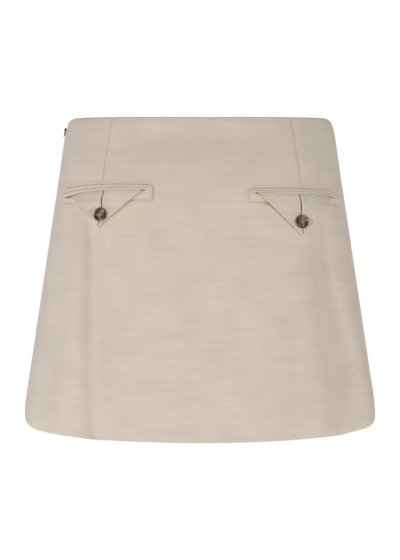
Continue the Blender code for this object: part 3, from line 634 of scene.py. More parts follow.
def rolled_piece(name, columns, loop, place):
    """A closed piece with both ends filled: place(column, loop step) gives the points round each section."""
    piece, column, row = new_grid(name, columns, loop + 1)
    points, across, up = place(column, row % loop)
    move_vertices(piece, points)
    lay_map(piece, across, up)
    merged = (bpy.ops.mesh.remove_doubles, {"threshold": 0.002 * MM})
    edit_all(merged, (bpy.ops.mesh.fill_holes, {"sides": 0}), OUTWARDS)
    bpy.ops.object.shade_smooth_by_angle(angle=math.radians(60))
    return piece


def make_welt(side, which):
    """The folded strip above or below a pocket mouth."""
    pocket = POCKETS[side]
    section = np.array(UPPER_WELT_SECTION if which == "upper" else LOWER_WELT_SECTION)
    along_steps = in_steps(pocket["inner"] * MM, pocket["outer"] * MM, 1.3 * MM)

    def place(column, step):
        along = along_steps[column]
        if which == "upper":
            low, high = pocket_line(pocket, "mouth", along), pocket_line(pocket, "top", along)
        else:
            low = pocket_line(pocket, "bottom", along)
            inside = np.minimum(along - (pocket["flap_inner"] - 4) * MM, (pocket["flap_outer"] + 14) * MM - along)
            under_flap = (SEAM_GAP + WELT_OVERLAP) * smooth(inside / (2 * MM))
            high = pocket_line(pocket, "mouth", along) + WELT_OVERLAP - under_flap - mouth_gap(side, along)
        height = low + (high - low) * section[step, 0]
        end = np.minimum(along - along_steps[0], along_steps[-1] - along)
        full = np.sqrt(np.clip(end / (0.6 * MM), 0.2, 1))
        out = LAID_GAP + section[step, 1] * MM * full
        turned = pocket["turn"] * along
        return back_points(turned, height, out), turned, height

    welt = rolled_piece(f"pocket_{side}_{which}_welt_cloth", len(along_steps), len(section), place)
    dress(welt, "garment", "skirt_cloth", SKIRT_FACE)
    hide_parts(f"pocket_{side}_{which}_welt")


for side, which in WELT_SHOWN:
    make_welt(side, which)

# ================================================================ pocket flaps
# Each flap is a band of the twill folded to a point, so that its two halves meet on a
# slit down the middle, which is the buttonhole. Its root is sewn in behind the upper
# welt; its tip lies down, and its outer half swells off the skirt along its folded edge.
FLAP_THICKNESS = 1.7 * MM
FLAP_TIP_HALF_WIDTH = 4.2 * MM
FLAP_TIP_ROUND = 3.0 * MM
FLAP_CLEAR = 1.5 * MM
FLAP_DROP = 8 * MM
LOWER_WELT_THICKNESS = 0.9 * MM
FLAP_LIFT = {"outer": 0.25 * MM, "inner": 1.0 * MM}
FLAP_PINCH = {"left": 3.4 * MM, "right": 2.6 * MM}     # of the outer corner of the root
# Swell of the outer half off the skirt, most at its folded edge: its rise, the width over which it
# falls off and by how much, and the share of the way down where it is highest.
FLAP_SWELL = {"left": 5.5 * MM, "right": 8.5 * MM}
SWELL_WIDTH, SWELL_FALL, SWELL_CREST = 24 * MM, 0.75, 0.62
# The slit's line: share of the way down, and its shift from the middle.
SLIT_SHIFT = {"left": ((0, -0.02), (0.2, 0.02), (0.45, -0.03), (0.7, -0.08), (0.85, -0.1), (1, 0.3)),
              "right": ((0, 0.01), (0.21, 0.05), (0.48, 0.04), (0.86, 0.03), (1, 0.35))}
SLIT_HALF_GAP = 0.36 * MM
SLIT_END, TIP_START, TIP_DOWNS = 0.965, 0.955, (0.92, 0.94, 0.955, 0.967, 0.977, 0.985, 0.992, 0.997, 1.0)
SLIT_LIP = {"outer": 1.5 * MM, "inner": -0.45 * MM}
LIP_WIDTH = {"outer": 6.0 * MM, "inner": 2.6 * MM}
# Section of half a flap, from its folded edge to the slit: share of its width, mm further on, and share of
# thickness. The outer half's lip at the slit is rolled, so that it catches the light.
SLIT_EDGE = {
    "outer": ((1, -1.9, 1.04), (1, -1.35, 0.97), (1, -0.85, 0.8), (1, -0.4, 0.52), (1, 0, 0.18), (1, -0.1, 0.02)),
    "inner": ((1, -1.9, 1.0), (1, -1.0, 1.03), (1, -0.45, 0.97), (1, -0.12, 0.78), (1, 0, 0.5), (1, -0.15, 0.15)),
}
FLAP_SECTION = {
    which: np.array((
        (0, 0, 0.35), (0, 0.08, 0.62), (0, 0.3, 0.86), (0, 0.75, 1.0), (0, 1.5, 1.04), (0, 3.0, 0.97), (0.3, 0, 0.94),
        (0.5, 0, 0.95), (0.7, 0, 0.95), (1, -3.2, 0.96), *SLIT_EDGE[which], (1, -0.6, 0), (0.75, 0, 0), (0.5, 0, 0),
        (0.25, 0, 0), (0, 0.6, 0), (0, 0.1, 0.12),
    ))
    for which in SLIT_EDGE
}


def flap_place(pocket, part, down):
    """Distance from centre back and height on a flap: part runs from its inner (-1) to its outer edge (1)."""
    root = between((pocket["flap_inner"], pocket["flap_outer"]), (part + 1) / 2) * MM
    root_height = pocket_line(pocket, "mouth", root) - SEAM_GAP
    tip = pocket["tip"][0] * MM + FLAP_TIP_HALF_WIDTH * part
    tip_height = pocket["tip"][1] * MM + FLAP_TIP_ROUND * part**2
    return between((root, tip), down), between((root_height, tip_height), down)


def flap_out(pocket, part, down):
    """Distance of a flap's under side off the panel."""
    along, height = flap_place(pocket, part, down)
    over_welt = LAID_GAP + LOWER_WELT_THICKNESS + SEAM_GAP
    below = pocket_line(pocket, "bottom", along) - FLAP_CLEAR - height
    settled = between((over_welt, LAID_GAP), smooth(below / FLAP_DROP))
    lift = np.where(part > 0, FLAP_LIFT["outer"], FLAP_LIFT["inner"])
    return settled + lift * part**2 * 4 * down * (1 - down)


def make_flap_half(side, which):
    """Half of a flap, from its folded edge to the slit."""
    pocket, section = POCKETS[side], FLAP_SECTION[which]
    downs = np.concatenate([np.linspace(0, 0.9, 46), TIP_DOWNS])
    edge = -1 if which == "inner" else 1

    def place(column, step):
        down = downs[column]
        shift = np.interp(down, *zip(*SLIT_SHIFT[side]))
        width = np.abs(flap_place(pocket, shift, down)[0] - flap_place(pocket, np.full(len(down), edge), down)[0])
        across = section[step, 0] + section[step, 1] * MM * np.minimum(1, width / (8 * MM)) / width
        along, height = flap_place(pocket, edge + (shift - edge) * across, down)
        if which == "outer":
            along = along - FLAP_PINCH[side] * (1 - across) * (1 - smooth(down / 0.24))
        at_slit = smooth(1 - (1 - across) * width / LIP_WIDTH[which])
        opened = smooth((SLIT_END - down) / 0.05)
        along = along + edge * SLIT_HALF_GAP * smooth(1 - (1 - across) * width / (2.6 * MM)) * opened
        from_button = np.hypot(along - pocket["button"][0] * MM, height - pocket["button"][1] * MM)
        lip = SLIT_LIP[which] * at_slit * opened * smooth(from_button / (9 * MM) - 0.45) * smooth(down / 0.06)
        if which == "outer":
            swollen = 1 - SWELL_FALL * np.clip(across * width / SWELL_WIDTH, 0, 1)
            swollen = swollen * smooth((from_button - 7.5 * MM) / (9 * MM))
            swollen = swollen * np.clip(down / SWELL_CREST, 0, 1) * smooth((1 - down) / (1 - SWELL_CREST))
            lip = lip + FLAP_SWELL[side] * swollen
        rounded = np.sqrt(np.clip(1 - np.clip((down - TIP_START) / 0.046, 0, 1) ** 2, 0, 1))
        thick = FLAP_THICKNESS * section[step, 2] * rounded * (0.55 + 0.45 * smooth(down / 0.09))
        out = flap_out(pocket, edge + (shift - edge) * across, down) + thick
        out = out + lip * np.where(section[step, 2] > 0.3, 1, 0.5)
        return back_points(pocket["turn"] * along, height, out), pocket["turn"] * along, height

    half = rolled_piece(f"pocket_{side}_flap_{which}_half", len(downs), len(section), place)
    dress(half, "garment", "skirt_cloth", SKIRT_FACE)
    return half


for side in POCKETS:
    for half in [make_flap_half(side, which) for which in ("outer", "inner")]:
        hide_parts(f"pocket_{side}_flap")

# ================================================================ buttons
# Four-hole buttons turned from mottled dark horn, with a thick rim and a dished middle,
# sewn on through the flap's slit with pale beige thread crossed over the dish.
BUTTON_RADIUS = 7.6 * MM
BUTTON_TURNS = (
    (0.80, 0.0), (0.90, 0.25), (0.965, 0.75), (1.0, 1.4), (1.0, 1.9), (0.975, 2.4), (0.93, 2.8), (0.87, 3.05),
    (0.80, 3.1), (0.73, 3.0), (0.67, 2.75), (0.62, 2.45), (0.56, 2.28), (0.45, 2.22), (0.2, 2.2),
)
HOLE_SPACING = 3.2 * MM
HOLE_RADIUS = 0.85 * MM
STRAND_RISE = {1: 2.75, -1: 2.5}        # by diagonal, in mm: one pair of strands lies on the other
STRAND_SHIFT = 0.14 * MM
HORN_COLOURS = ((0.42, (0.006, 0.004, 0.003)), (0.47, (0.014, 0.008, 0.005)), (0.53, (0.13, 0.07, 0.028)),
                (0.60, (0.34, 0.22, 0.10)), (0.70, (0.60, 0.45, 0.27)))


def colour_ramp(tree, place, share, stops):
    """Colours by a share, with stops that each have a place and a colour."""
    made = node(tree, "ShaderNodeValToRGB", place, {0: share})
    elements = made.color_ramp.elements
    for element, (at, colour) in zip(elements, (stops[0], stops[-1])):
        element.position, element.color = at, (*colour, 1)
    for at, colour in stops[1:-1]:
        elements.new(at).color = (*colour, 1)
    return made.outputs[0]


def horn_material():
    """Polished horn: near black, with brown and amber mottling drawn out along the grain."""
    material, tree, shader = new_material("mottled_horn")
    where = node(tree, "ShaderNodeTexCoord", (-1100, 0)).outputs["Object"]
    drawn = node(tree, "ShaderNodeMapping", (-920, 0), {"Vector": where}, Scale=(120, 120, 150),
                 Rotation=(0.3, 0.5, 0.7)).outputs[0]
    patches = node(tree, "ShaderNodeTexNoise", (-720, 120), {"Vector": drawn}, Scale=1.0, Detail=4.0, Roughness=0.62,
                   Distortion=1.2).outputs[0]
    flecks = node(tree, "ShaderNodeTexNoise", (-720, -160), {"Vector": drawn}, Scale=5.5, Detail=3.0,
                  Roughness=0.6).outputs
    speck = node(tree, "ShaderNodeMix", (-200, 120), data_type="RGBA", blend_type="MULTIPLY")
    feed(speck, {"Factor": 0.5, "A": colour_ramp(tree, (-500, 120), patches, HORN_COLOURS), "B": flecks["Color"]})
    polish = node(tree, "ShaderNodeMapRange", (-400, -200), {"Value": flecks[0], "To Min": 0.28, "To Max": 0.46})
    bump = node(tree, "ShaderNodeBump", (-200, -300), {"Height": flecks[0]}, Strength=0.2, Distance=0.05 * MM)
    feed(shader, {"Base Color": speck.outputs["Result"], "Roughness": polish.outputs[0], "Normal": bump.outputs[0],
                  "Coat Weight": 0.08, "Coat Roughness": 0.2, "Specular IOR Level": 0.3})
    return material


def thread_material(name, colour):
    """Spun thread: fine strands that lie slantwise round it."""
    material, tree, shader = new_material(name)
    where = node(tree, "ShaderNodeTexCoord", (-900, 0)).outputs["Object"]
    turned = node(tree, "ShaderNodeMapping", (-720, 0), {"Vector": where}, Scale=(5000, 5000, 5000),
                  Rotation=(0.6, 0.2, 0.8)).outputs[0]
    strands = node(tree, "ShaderNodeTexWave", (-520, 0), {"Vector": turned}, Scale=0.2, Distortion=1.0,
                   Detail=1.0).outputs
    tint = node(tree, "ShaderNodeMix", (-280, 100), data_type="RGBA")
    feed(tint, {"Factor": strands["Color"], "A": (*[part * 0.78 for part in colour], 1), "B": (*colour, 1)})
    bump = node(tree, "ShaderNodeBump", (-280, -200), {"Height": strands["Fac"]}, Strength=0.5, Distance=0.04 * MM)
    feed(shader, {"Base Color": tint.outputs["Result"], "Normal": bump.outputs[0], "Roughness": 0.6,
                  "Sheen Weight": 0.3})
    return material


HORN = horn_material()
BUTTON_THREAD = thread_material("button_thread", (0.50, 0.43, 0.32))


def button_place(side):
    """The button's place: X to the right, Z out of the flap, from the middle of its back."""
    pocket = POCKETS[side]
    along, height = (np.array(value * MM) for value in pocket["button"])
    root_height = pocket_line(pocket, "mouth", along)
    down = (root_height - height) / (root_height - pocket["tip"][1] * MM)
    out = flap_out(pocket, np.array(0.0), down) + FLAP_THICKNESS + SEAM_GAP
    centre = Vector(back_points(pocket["turn"] * along, height, out))
    facing = Vector(form_normals("back", pocket["turn"] * along / girth("back", height), height))
    right = Vector((0, 0, 1)).cross(facing).normalized()
    turned = Matrix((right, facing.cross(right), facing)).transposed().to_4x4()
    return Matrix.Translation(centre) @ turned


def make_button(side):
    """A turned button with its four holes."""
    bpy.ops.mesh.primitive_circle_add(vertices=64, radius=BUTTON_TURNS[0][0] * BUTTON_RADIUS, fill_type="NGON")
    button = new_piece(f"button_{side}_horn")
    bpy.ops.object.mode_set(mode="EDIT")
    bpy.ops.mesh.select_all(action="SELECT")
    for (radius, level), (before, below) in zip(BUTTON_TURNS[1:], BUTTON_TURNS):
        bpy.ops.mesh.extrude_region_move(TRANSFORM_OT_translate={"value": (0, 0, (level - below) * MM)})
        bpy.ops.transform.resize(value=(radius / before, radius / before, 1))
    bpy.ops.mesh.select_all(action="SELECT")
    bpy.ops.mesh.normals_make_consistent(inside=False)
    bpy.ops.object.mode_set(mode="OBJECT")
    drills = []
    for x in (-0.5, 0.5):
        for y in (-0.5, 0.5):
            bpy.ops.mesh.primitive_cylinder_add(vertices=20, radius=HOLE_RADIUS, depth=20 * MM,
                                                location=(x * HOLE_SPACING, y * HOLE_SPACING, 0))
            drills.append(bpy.context.object)
            hole = button.modifiers.new("hole", "BOOLEAN")
            hole.operation, hole.solver, hole.object = "DIFFERENCE", "EXACT", bpy.context.object
    round_edges(button, 0.14 * MM, 55)
    apply_modifiers(button)
    for drill in drills:
        bpy.data.objects.remove(drill, do_unlink=True)
    bpy.ops.object.shade_smooth_by_angle(angle=math.radians(40))
    button.data.transform(button_place(side))
    dress(button, "garment", "horn_button", HORN)
    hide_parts(f"button_{side}")


def make_button_thread(side):
    """Thread crossed over the dish, two strands each way, down into the four holes."""
    strands = []
    for diagonal in (1, -1):
        for shift in (-STRAND_SHIFT, STRAND_SHIFT):
            bpy.ops.curve.primitive_nurbs_path_add()
            strand = bpy.context.object
            rise = STRAND_RISE[diagonal]
            course = ((-1, 1.2), (-0.98, rise - 0.3), (0, rise + 0.15), (0.98, rise - 0.3), (1, 1.2))
            for point, (share, level) in zip(strand.data.splines[0].points, course):
                x, y = share * HOLE_SPACING / 2, share * HOLE_SPACING / 2 * diagonal
                point.co = (x - shift * diagonal, y + shift, level * MM, 1)
            strand.data.bevel_depth, strand.data.bevel_resolution, strand.data.resolution_u = 0.17 * MM, 1, 6
            strand.data.use_fill_caps = True
            strands.append(strand)
    bpy.ops.object.select_all(action="DESELECT")
    for strand in strands:
        strand.select_set(True)
    bpy.context.view_layer.objects.active = strands[0]
    bpy.ops.object.convert(target="MESH")
    bpy.ops.object.join()
    thread = new_piece(f"button_{side}_thread")
    thread.data.transform(thread.matrix_world)
    thread.matrix_world = Matrix()
    bpy.ops.object.shade_smooth()
    thread.data.transform(button_place(side))
    dress(thread, "garment", "horn_button", BUTTON_THREAD)


for side in POCKETS:
    make_button(side)
    make_button_thread(side)

# ================================================================ topstitching
# Matching beige thread holds the welts: a row just under each upper seam, a row along
# the lower edge, and a close row up each end of the pocket.
STITCH_LENGTH = 2.1 * MM
STITCH_PITCH = 2.7 * MM
SEWING_THREAD = thread_material("sewing_thread", (0.64, 0.56, 0.49))


def stitch_shape():
    """Vertices and faces of one stitch, lying along X: a low grain that dips at both ends."""
    bpy.ops.mesh.primitive_uv_sphere_add(segments=6, ring_count=6, radius=1, rotation=(0, math.pi / 2, 0))
    grain = bpy.context.object
    bpy.ops.object.transform_apply(location=True, rotation=True, scale=True)
    places = np.array([vertex.co for vertex in grain.data.vertices])
    faces = [tuple(face.vertices) for face in grain.data.polygons]
    bpy.data.objects.remove(grain, do_unlink=True)
    places[:, 2] -= 0.5 * places[:, 0] ** 2
    return places, faces


STITCH_PLACES, STITCH_FACES = stitch_shape()


def length_along(points):
    """Distance of each point of a row from its start."""
    return np.concatenate([[0], np.cumsum(np.linalg.norm(np.diff(points, axis=0), axis=1))])


def on_row(run, values, at):
    """Values that belong to the points of a row, read at a distance from its start."""
    return np.array([np.interp(at, run, values[:, axis]) for axis in range(3)])


def sew(name, rows, length=STITCH_LENGTH, pitch=STITCH_PITCH, width=0.42 * MM, slot="skirt_cloth"):
    """One piece of stitches along rows of (points, normals)."""
    vertices, faces = [], []
    for points, normals in rows:
        run = length_along(points)
        count = max(1, int(run[-1] / pitch))
        for middle in (np.arange(count) + 0.5) * run[-1] / count:
            behind, at, ahead = (on_row(run, points, middle + move) for move in (-0.3 * MM, 0, 0.3 * MM))
            along = (ahead - behind) / np.linalg.norm(ahead - behind)
            out = on_row(run, normals, middle)
            across = np.cross(out, along)
            across /= np.linalg.norm(across)
            out = np.cross(along, across)
            scaled = STITCH_PLACES * (length / 2, width / 2, width / 2)
            faces += [tuple(len(vertices) * len(STITCH_PLACES) + corner for corner in face) for face in STITCH_FACES]
            vertices.append(at + scaled @ np.stack([along, across, out]))
    mesh = bpy.data.meshes.new(name)
    mesh.from_pydata(np.concatenate(vertices).tolist(), [], faces)
    mesh.shade_smooth()
    piece = bpy.data.objects.new(name, mesh)
    bpy.context.scene.collection.objects.link(piece)
    dress(piece, "garment", slot, SEWING_THREAD)


def across_rows(start, end, normals):
    """A row of its own for each crosswise stitch from a start to an end point."""
    return [(np.stack([a, b]), np.stack([n, n])) for a, b, n in zip(start, end, normals)]


def laid_row(pocket, along, height, out):
    """A row of places on the back, with their outward directions."""
    turned = pocket["turn"] * along
    return back_points(turned, height, out), form_normals("back", turned / girth("back", height), height)


for side, pocket in POCKETS.items():
    along = in_steps((pocket["inner"] + 1.2) * MM, (pocket["outer"] - 1.2) * MM, 1 * MM)
    top, mouth, bottom = (pocket_line(pocket, line, along) for line in ("top", "mouth", "bottom"))
    upper_row = laid_row(pocket, along, mouth + (top - mouth) * 0.57, LAID_GAP + 0.88 * MM)
    lower_row = laid_row(pocket, along, bottom + (mouth - bottom) * 0.23, LAID_GAP + 0.6 * MM)
    ends = []
    for end, inset in (("inner", 1.3 * MM), ("outer", -1.3 * MM)):
        at = pocket[end] * MM + inset
        low, high = (pocket_line(pocket, line, np.array(at)) for line in ("bottom", "mouth"))
        up = np.linspace(low + 1.6 * MM, high - 0.6 * MM, 12)
        ends.append(laid_row(pocket, np.full(12, at), up, np.full(12, LAID_GAP + 1.0 * MM)))
    sew(f"pocket_{side}_topstitching", [upper_row, lower_row])
    sew(f"pocket_{side}_end_stitching", ends, length=1.3 * MM, pitch=1.5 * MM)

# Inside, the hem turning and the seam allowances are overcast along their cut edges, and
# the turning is caught to the panel by hand.
OVERCAST_PITCH = 2.6 * MM
OVERCAST_REACH = 3.2 * MM
# Ends of the seams' overcasting: under the zip, under the waist, and above the hem.
BELOW_ZIP, BELOW_WAIST, ABOVE_HEM = -208 * MM, -38 * MM, 56 * MM
for side in ("back", "front"):
    inner_face = -(CLOTH_THICKNESS + TURNING + 0.05 * MM)
    half = girth(side, np.array(HEM[side][0] * MM))
    part = in_steps(-0.985, 0.985, OVERCAST_PITCH / half)
    hem = hem_height(side, part)
    low, high = (cloth_points(side, part, hem + HEM_TURN_UP - rise, inner_face)
                 for rise in (OVERCAST_REACH + 0.2 * MM, 0.2 * MM))
    overcast = across_rows(low, high, -form_normals(side, part, hem + HEM_TURN_UP))
    for seam in (-1, 1):
        zip_seam = seam == (-1 if side == "back" else 1)
        level = in_steps(HEM[side][0] * MM + ABOVE_HEM, BELOW_ZIP if zip_seam else BELOW_WAIST, OVERCAST_PITCH)
        near, far = (seam * (1 - (SEAM_ALLOWANCE - rise) / girth(side, level))
                     for rise in (0.3 * MM, OVERCAST_REACH + 0.3 * MM))
        ends = (cloth_points(side, end, level, inner_face) for end in (near, far))
        overcast += across_rows(*ends, -form_normals(side, near, level))
    sew(f"skirt_{side}_overcasting", overcast, length=OVERCAST_REACH, pitch=10 * MM, width=0.34 * MM)
    caught = hem + HEM_TURN_UP + 0.5 * MM
    sew(f"skirt_{side}_hem_stitching",
        [(cloth_points(side, part, caught, -CLOTH_THICKNESS - 0.3 * MM), -form_normals(side, part, caught))],
        length=1.8 * MM, pitch=7 * MM, width=0.4 * MM)

# ================================================================ zip
# A concealed nylon zip in the left side seam: a woven tape behind the seam with its
# coil, and outside it only the dark metal slider with its drop-shaped pull tab, which
# hangs from a pin and lies against the cloth.
ZIP_TOP, ZIP_BOTTOM = -19 * MM, -190 * MM
ZIP_TAPE_WIDTH = 22 * MM
ZIP_TAPE_THICKNESS = 0.7 * MM
COIL_PITCH = 1.35 * MM
COIL_STEPS = 9          # a turn
COIL_HALF_WIDTH = 1.9 * MM
COIL_HALF_DEPTH = 0.75 * MM
TAPE = cloth_material("zip_tape_weave", light=(0.66, 0.58, 0.50), dark=(0.52, 0.45, 0.38), thread=0.4 * MM, slub=0.15)


def seam_points(across, height, out):
    """Points by the left side seam: across is below 0 on the back and above 0 on the front."""
    back = cloth_points("back", -(1 - np.abs(across) / girth("back", height)), height, out)
    front = cloth_points("front", 1 - np.abs(across) / girth("front", height), height, out)
    return np.where((across <= 0)[:, None], back, front)


def make_zip_tape():
    """The tape, ribbed along its middle where the coil is woven on."""
    across_steps = np.linspace(-0.5, 0.5, 23) * ZIP_TAPE_WIDTH
    levels = in_steps(ZIP_BOTTOM, ZIP_TOP, 2.5 * MM)
    piece, column, row = new_grid("zip_tape_woven", len(across_steps), len(levels))
    across, height = across_steps[column], levels[row]
    rib = 0.12 * MM * np.cos(across / (1.6 * MM) * 2 * math.pi)
    inside = -(CLOTH_THICKNESS + LAID_GAP)
    move_vertices(piece, seam_points(across, height, inside - 0.15 * MM + rib))
    lay_map(piece, across, height)
    piece.data.flip_normals()
    give_wall(piece, ZIP_TAPE_THICKNESS * 0.7, 0.12 * MM)
    apply_modifiers(piece)
    edit_all(OUTWARDS)
    bpy.ops.object.shade_smooth()
    dress(piece, "garment", "zip_tape", TAPE, TAPE)
    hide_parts("zip_tape")


def make_coil():
    """The nylon coil, woven on along the middle of the tape's inner face."""
    turns = (ZIP_TOP - ZIP_BOTTOM - 8 * MM) / COIL_PITCH
    run = np.linspace(0, 1, int(turns * COIL_STEPS))
    angle = run * turns * 2 * math.pi
    height = ZIP_TOP - 4 * MM - run * (ZIP_TOP - ZIP_BOTTOM - 8 * MM)
    under = -(CLOTH_THICKNESS + LAID_GAP + ZIP_TAPE_THICKNESS + COIL_HALF_DEPTH)
    points = seam_points(COIL_HALF_WIDTH * np.cos(angle), height, under + COIL_HALF_DEPTH * np.sin(angle))
    bpy.ops.curve.primitive_nurbs_path_add()
    coil = bpy.context.object
    spline = coil.data.splines[0]
    spline.points.add(len(points) - len(spline.points))
    spline.points.foreach_set("co", np.concatenate([points, np.ones((len(points), 1))], axis=1).ravel())
    spline.order_u, spline.resolution_u = 2, 1
    coil.data.bevel_depth, coil.data.bevel_resolution = 0.28 * MM, 1
    bpy.ops.object.convert(target="MESH")
    coil = new_piece("zip_coil")
    bpy.ops.object.shade_smooth()
    dress(coil, "garment", "zip_tape", thread_material("coil_nylon", (0.60, 0.52, 0.44)))


make_zip_tape()
make_coil()

# A bar tack of pale thread holds the top of the zip beside its slider.
TACK_PLACES, TACK_HEIGHTS = np.array([-0.7932, -0.7905, -0.7877]), np.array([-13.7, -14.85, -16.0]) * MM
tack_ends = [cloth_points("back", TACK_PLACES + move / girth("back", TACK_HEIGHTS), TACK_HEIGHTS, 0.12 * MM)
             for move in (-0.9 * MM, 0.9 * MM)]
sew("zip_bar_tack", across_rows(*tack_ends, form_normals("back", TACK_PLACES, TACK_HEIGHTS)), length=1.8 * MM,
    pitch=3 * MM, width=0.5 * MM)


def dark_metal():
    """Burnished dark metal: brown black, with brighter patches in a fine random cloud."""
    material, tree, shader = new_material("burnished_metal")
    where = node(tree, "ShaderNodeTexCoord", (-900, 0)).outputs["Object"]
    cloud = node(tree, "ShaderNodeTexNoise", (-700, 0), {"Vector": where}, Scale=900.0, Detail=4.0,
                 Roughness=0.6).outputs[0]
    worn = colour_ramp(tree, (-460, 80), cloud, ((0.35, (0.035, 0.026, 0.018)), (0.75, (0.13, 0.10, 0.07))))
    polish = node(tree, "ShaderNodeMapRange", (-460, -200), {"Value": cloud, "To Min": 0.28, "To Max": 0.5})
    bump = node(tree, "ShaderNodeBump", (-240, -300), {"Height": cloud}, Strength=0.3, Distance=0.03 * MM)
    feed(shader, {"Base Color": worn, "Roughness": polish.outputs[0], "Normal": bump.outputs[0], "Metallic": 0.9})
    return material


METAL = dark_metal()
for name in ("zip_slider", "zip_pull_tab"):
    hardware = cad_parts[name]
    for slot in hardware.material_slots:
        slot.material = METAL

# ================================================================ inner shorts
# What makes the skirt a skort: light shorts of thin beige cloth in a left and a right
# half, joined on the centre seam, caught in the skirt's top edge all round, and hemmed
# with a double row of stitches. The photograph doesn't show them, so they are plain.
SHORTS_THICKNESS = 1.1 * MM
SHORTS_GAPS = {"height": (0, -9, -18, -60, -150, -300), "gap": (0.55, 0.7, 3.4, 6, 11, 24)}
SHORTS_BELOW_TOP = 1.2 * MM
LEG_END = -300 * MM
CROTCH_TURN = -150 * MM
CROTCH_HEIGHT = -236 * MM
LEG_GAP_AT_HEM = 9 * MM
LEG_HALF_DEPTH = 88 * MM
LEG_ROUNDNESS = 2.3
SEAM_TURN = math.radians(120)
LEG_HEM_ROWS = (0.925, 0.945)      # shares of the way down
WAIST_ROW = 0.02
LEG_CREASE, LEG_HEM_GROOVE = 0.9 * MM, 0.25 * MM
LEG_MAP_RADIUS = 95 * MM        # of a leg on the cloth's map
SHORTS_CLOTH = cloth_material("shorts_cloth", light=(0.66, 0.585, 0.51), dark=(0.54, 0.475, 0.41), thread=0.35 * MM,
                              slub=0.2, cloud=0.5, relief_depth=0.07 * MM, sheen=0.1)


def shorts_inset(height):
    """Distance of the shorts' outer surface from the skirt's."""
    return CLOTH_THICKNESS + on_curve(SHORTS_GAPS["height"], SHORTS_GAPS["gap"], np.minimum(height, 0.0))


def centre_depth(side, height):
    """Depth of the shorts at the centre of the front or back."""
    return on_curve(FORM["height"], FORM[side], height) - shorts_inset(height)


def crotch_curve():
    """The centre seam in its plane, as y and height, from the front waist to the back one."""
    lines = []
    for side, turn in (("front", 1), ("back", -1)):
        heights = np.linspace(TOP_EDGE[side][0] * MM - SHORTS_BELOW_TOP, CROTCH_TURN, 61)
        lines.append(np.stack([turn * centre_depth(side, heights), heights], axis=1))
    front, back = lines
    middle, half = (front[-1, 0] + back[-1, 0]) / 2, (front[-1, 0] - back[-1, 0]) / 2
    turn = np.linspace(0, math.pi, 121)
    under = np.stack([middle + half * np.cos(turn), between((CROTCH_TURN, CROTCH_HEIGHT), np.sin(turn))], axis=1)
    return np.concatenate([front[:-1], under, back[-2::-1]])


CENTRE_SEAM = crotch_curve()


def leg_points(turn, height):
    """Points of the leg's section: turn 0 is its outer side and a quarter turn its front."""
    outer = on_curve(FORM["height"], FORM["half_width"], height) - shorts_inset(height)
    inner = SEAM_GAP / 2 + LEG_GAP_AT_HEM * smooth((CROTCH_TURN - height) / (CROTCH_TURN - LEG_END))
    across, along = np.cos(turn), np.sin(turn)
    reach = (np.abs(across) ** LEG_ROUNDNESS + np.abs(along) ** LEG_ROUNDNESS) ** (-1 / LEG_ROUNDNESS)
    x = (outer + inner) / 2 + (outer - inner) / 2 * reach * across
    return np.stack([x, LEG_HALF_DEPTH * reach * along, height], axis=-1)


def shorts_points(turn, down):
    """Points of the right half, from the waist or the centre seam to the leg's end."""
    body, height = np.zeros((len(turn), 3)), np.zeros(len(turn))
    for side, sign in (("front", -1), ("back", 1)):
        chosen = (np.abs(turn) <= SEAM_TURN) & ((turn > 0) == (side == "front"))
        part = (1 - np.abs(turn[chosen]) / SEAM_TURN) * sign
        start = edge_height(TOP_EDGE[side], part) - SHORTS_BELOW_TOP
        level = between((start, LEG_END), down[chosen])
        points = form_points(side, part, level) - form_normals(side, part, level) * shorts_inset(level)[:, None]
        points[:, 0] = np.maximum(points[:, 0], SEAM_GAP / 2)
        points[:, 2] = level
        body[chosen], height[chosen] = points, level
    chosen = np.abs(turn) > SEAM_TURN
    share = (turn[chosen] - SEAM_TURN) / (2 * math.pi - 2 * SEAM_TURN)
    run = length_along(CENTRE_SEAM)
    y, start = (np.interp(share * run[-1], run, CENTRE_SEAM[:, axis]) for axis in (0, 1))
    level = between((start, LEG_END), down[chosen])
    ratio = np.where(y > 0, centre_depth("front", level) / centre_depth("front", start),
                     centre_depth("back", level) / centre_depth("back", start))
    body[chosen] = np.stack([np.full(len(y), SEAM_GAP / 2), y * ratio, level], axis=1)
    height[chosen] = level
    settled = smooth(down)[:, None]
    return body * (1 - settled) + leg_points(turn, height) * settled


def shorts_surface(turn, down, out=0.0):
    """Points of the right half with its creases, this far outside them, and their outward directions."""
    points = shorts_points(turn, down)
    # creases fan from the crotch and hang from the seat; the leg's end is turned up
    fan = np.where(np.abs(turn) > SEAM_TURN, 0, 1) * smooth(down / 0.35) * smooth((1 - down) / 0.12)
    angle = np.mod(turn, 2 * math.pi)
    ripple = np.sin(angle * 7 + down * 5) * 0.5 + np.sin(angle * 11 - down * 7) * 0.3
    away = points - np.stack([np.full(len(turn), 85 * MM), np.zeros(len(turn)), points[:, 2]], axis=1)
    away /= np.maximum(np.linalg.norm(away, axis=1, keepdims=True), 1e-6)
    groove = sum(bell(down - row, 0.004) for row in LEG_HEM_ROWS)
    points = points + away * (out + ripple * LEG_CREASE * fan - LEG_HEM_GROOVE * groove)[:, None]
    points[:, 0] = np.maximum(points[:, 0], SEAM_GAP / 2)
    return points, away


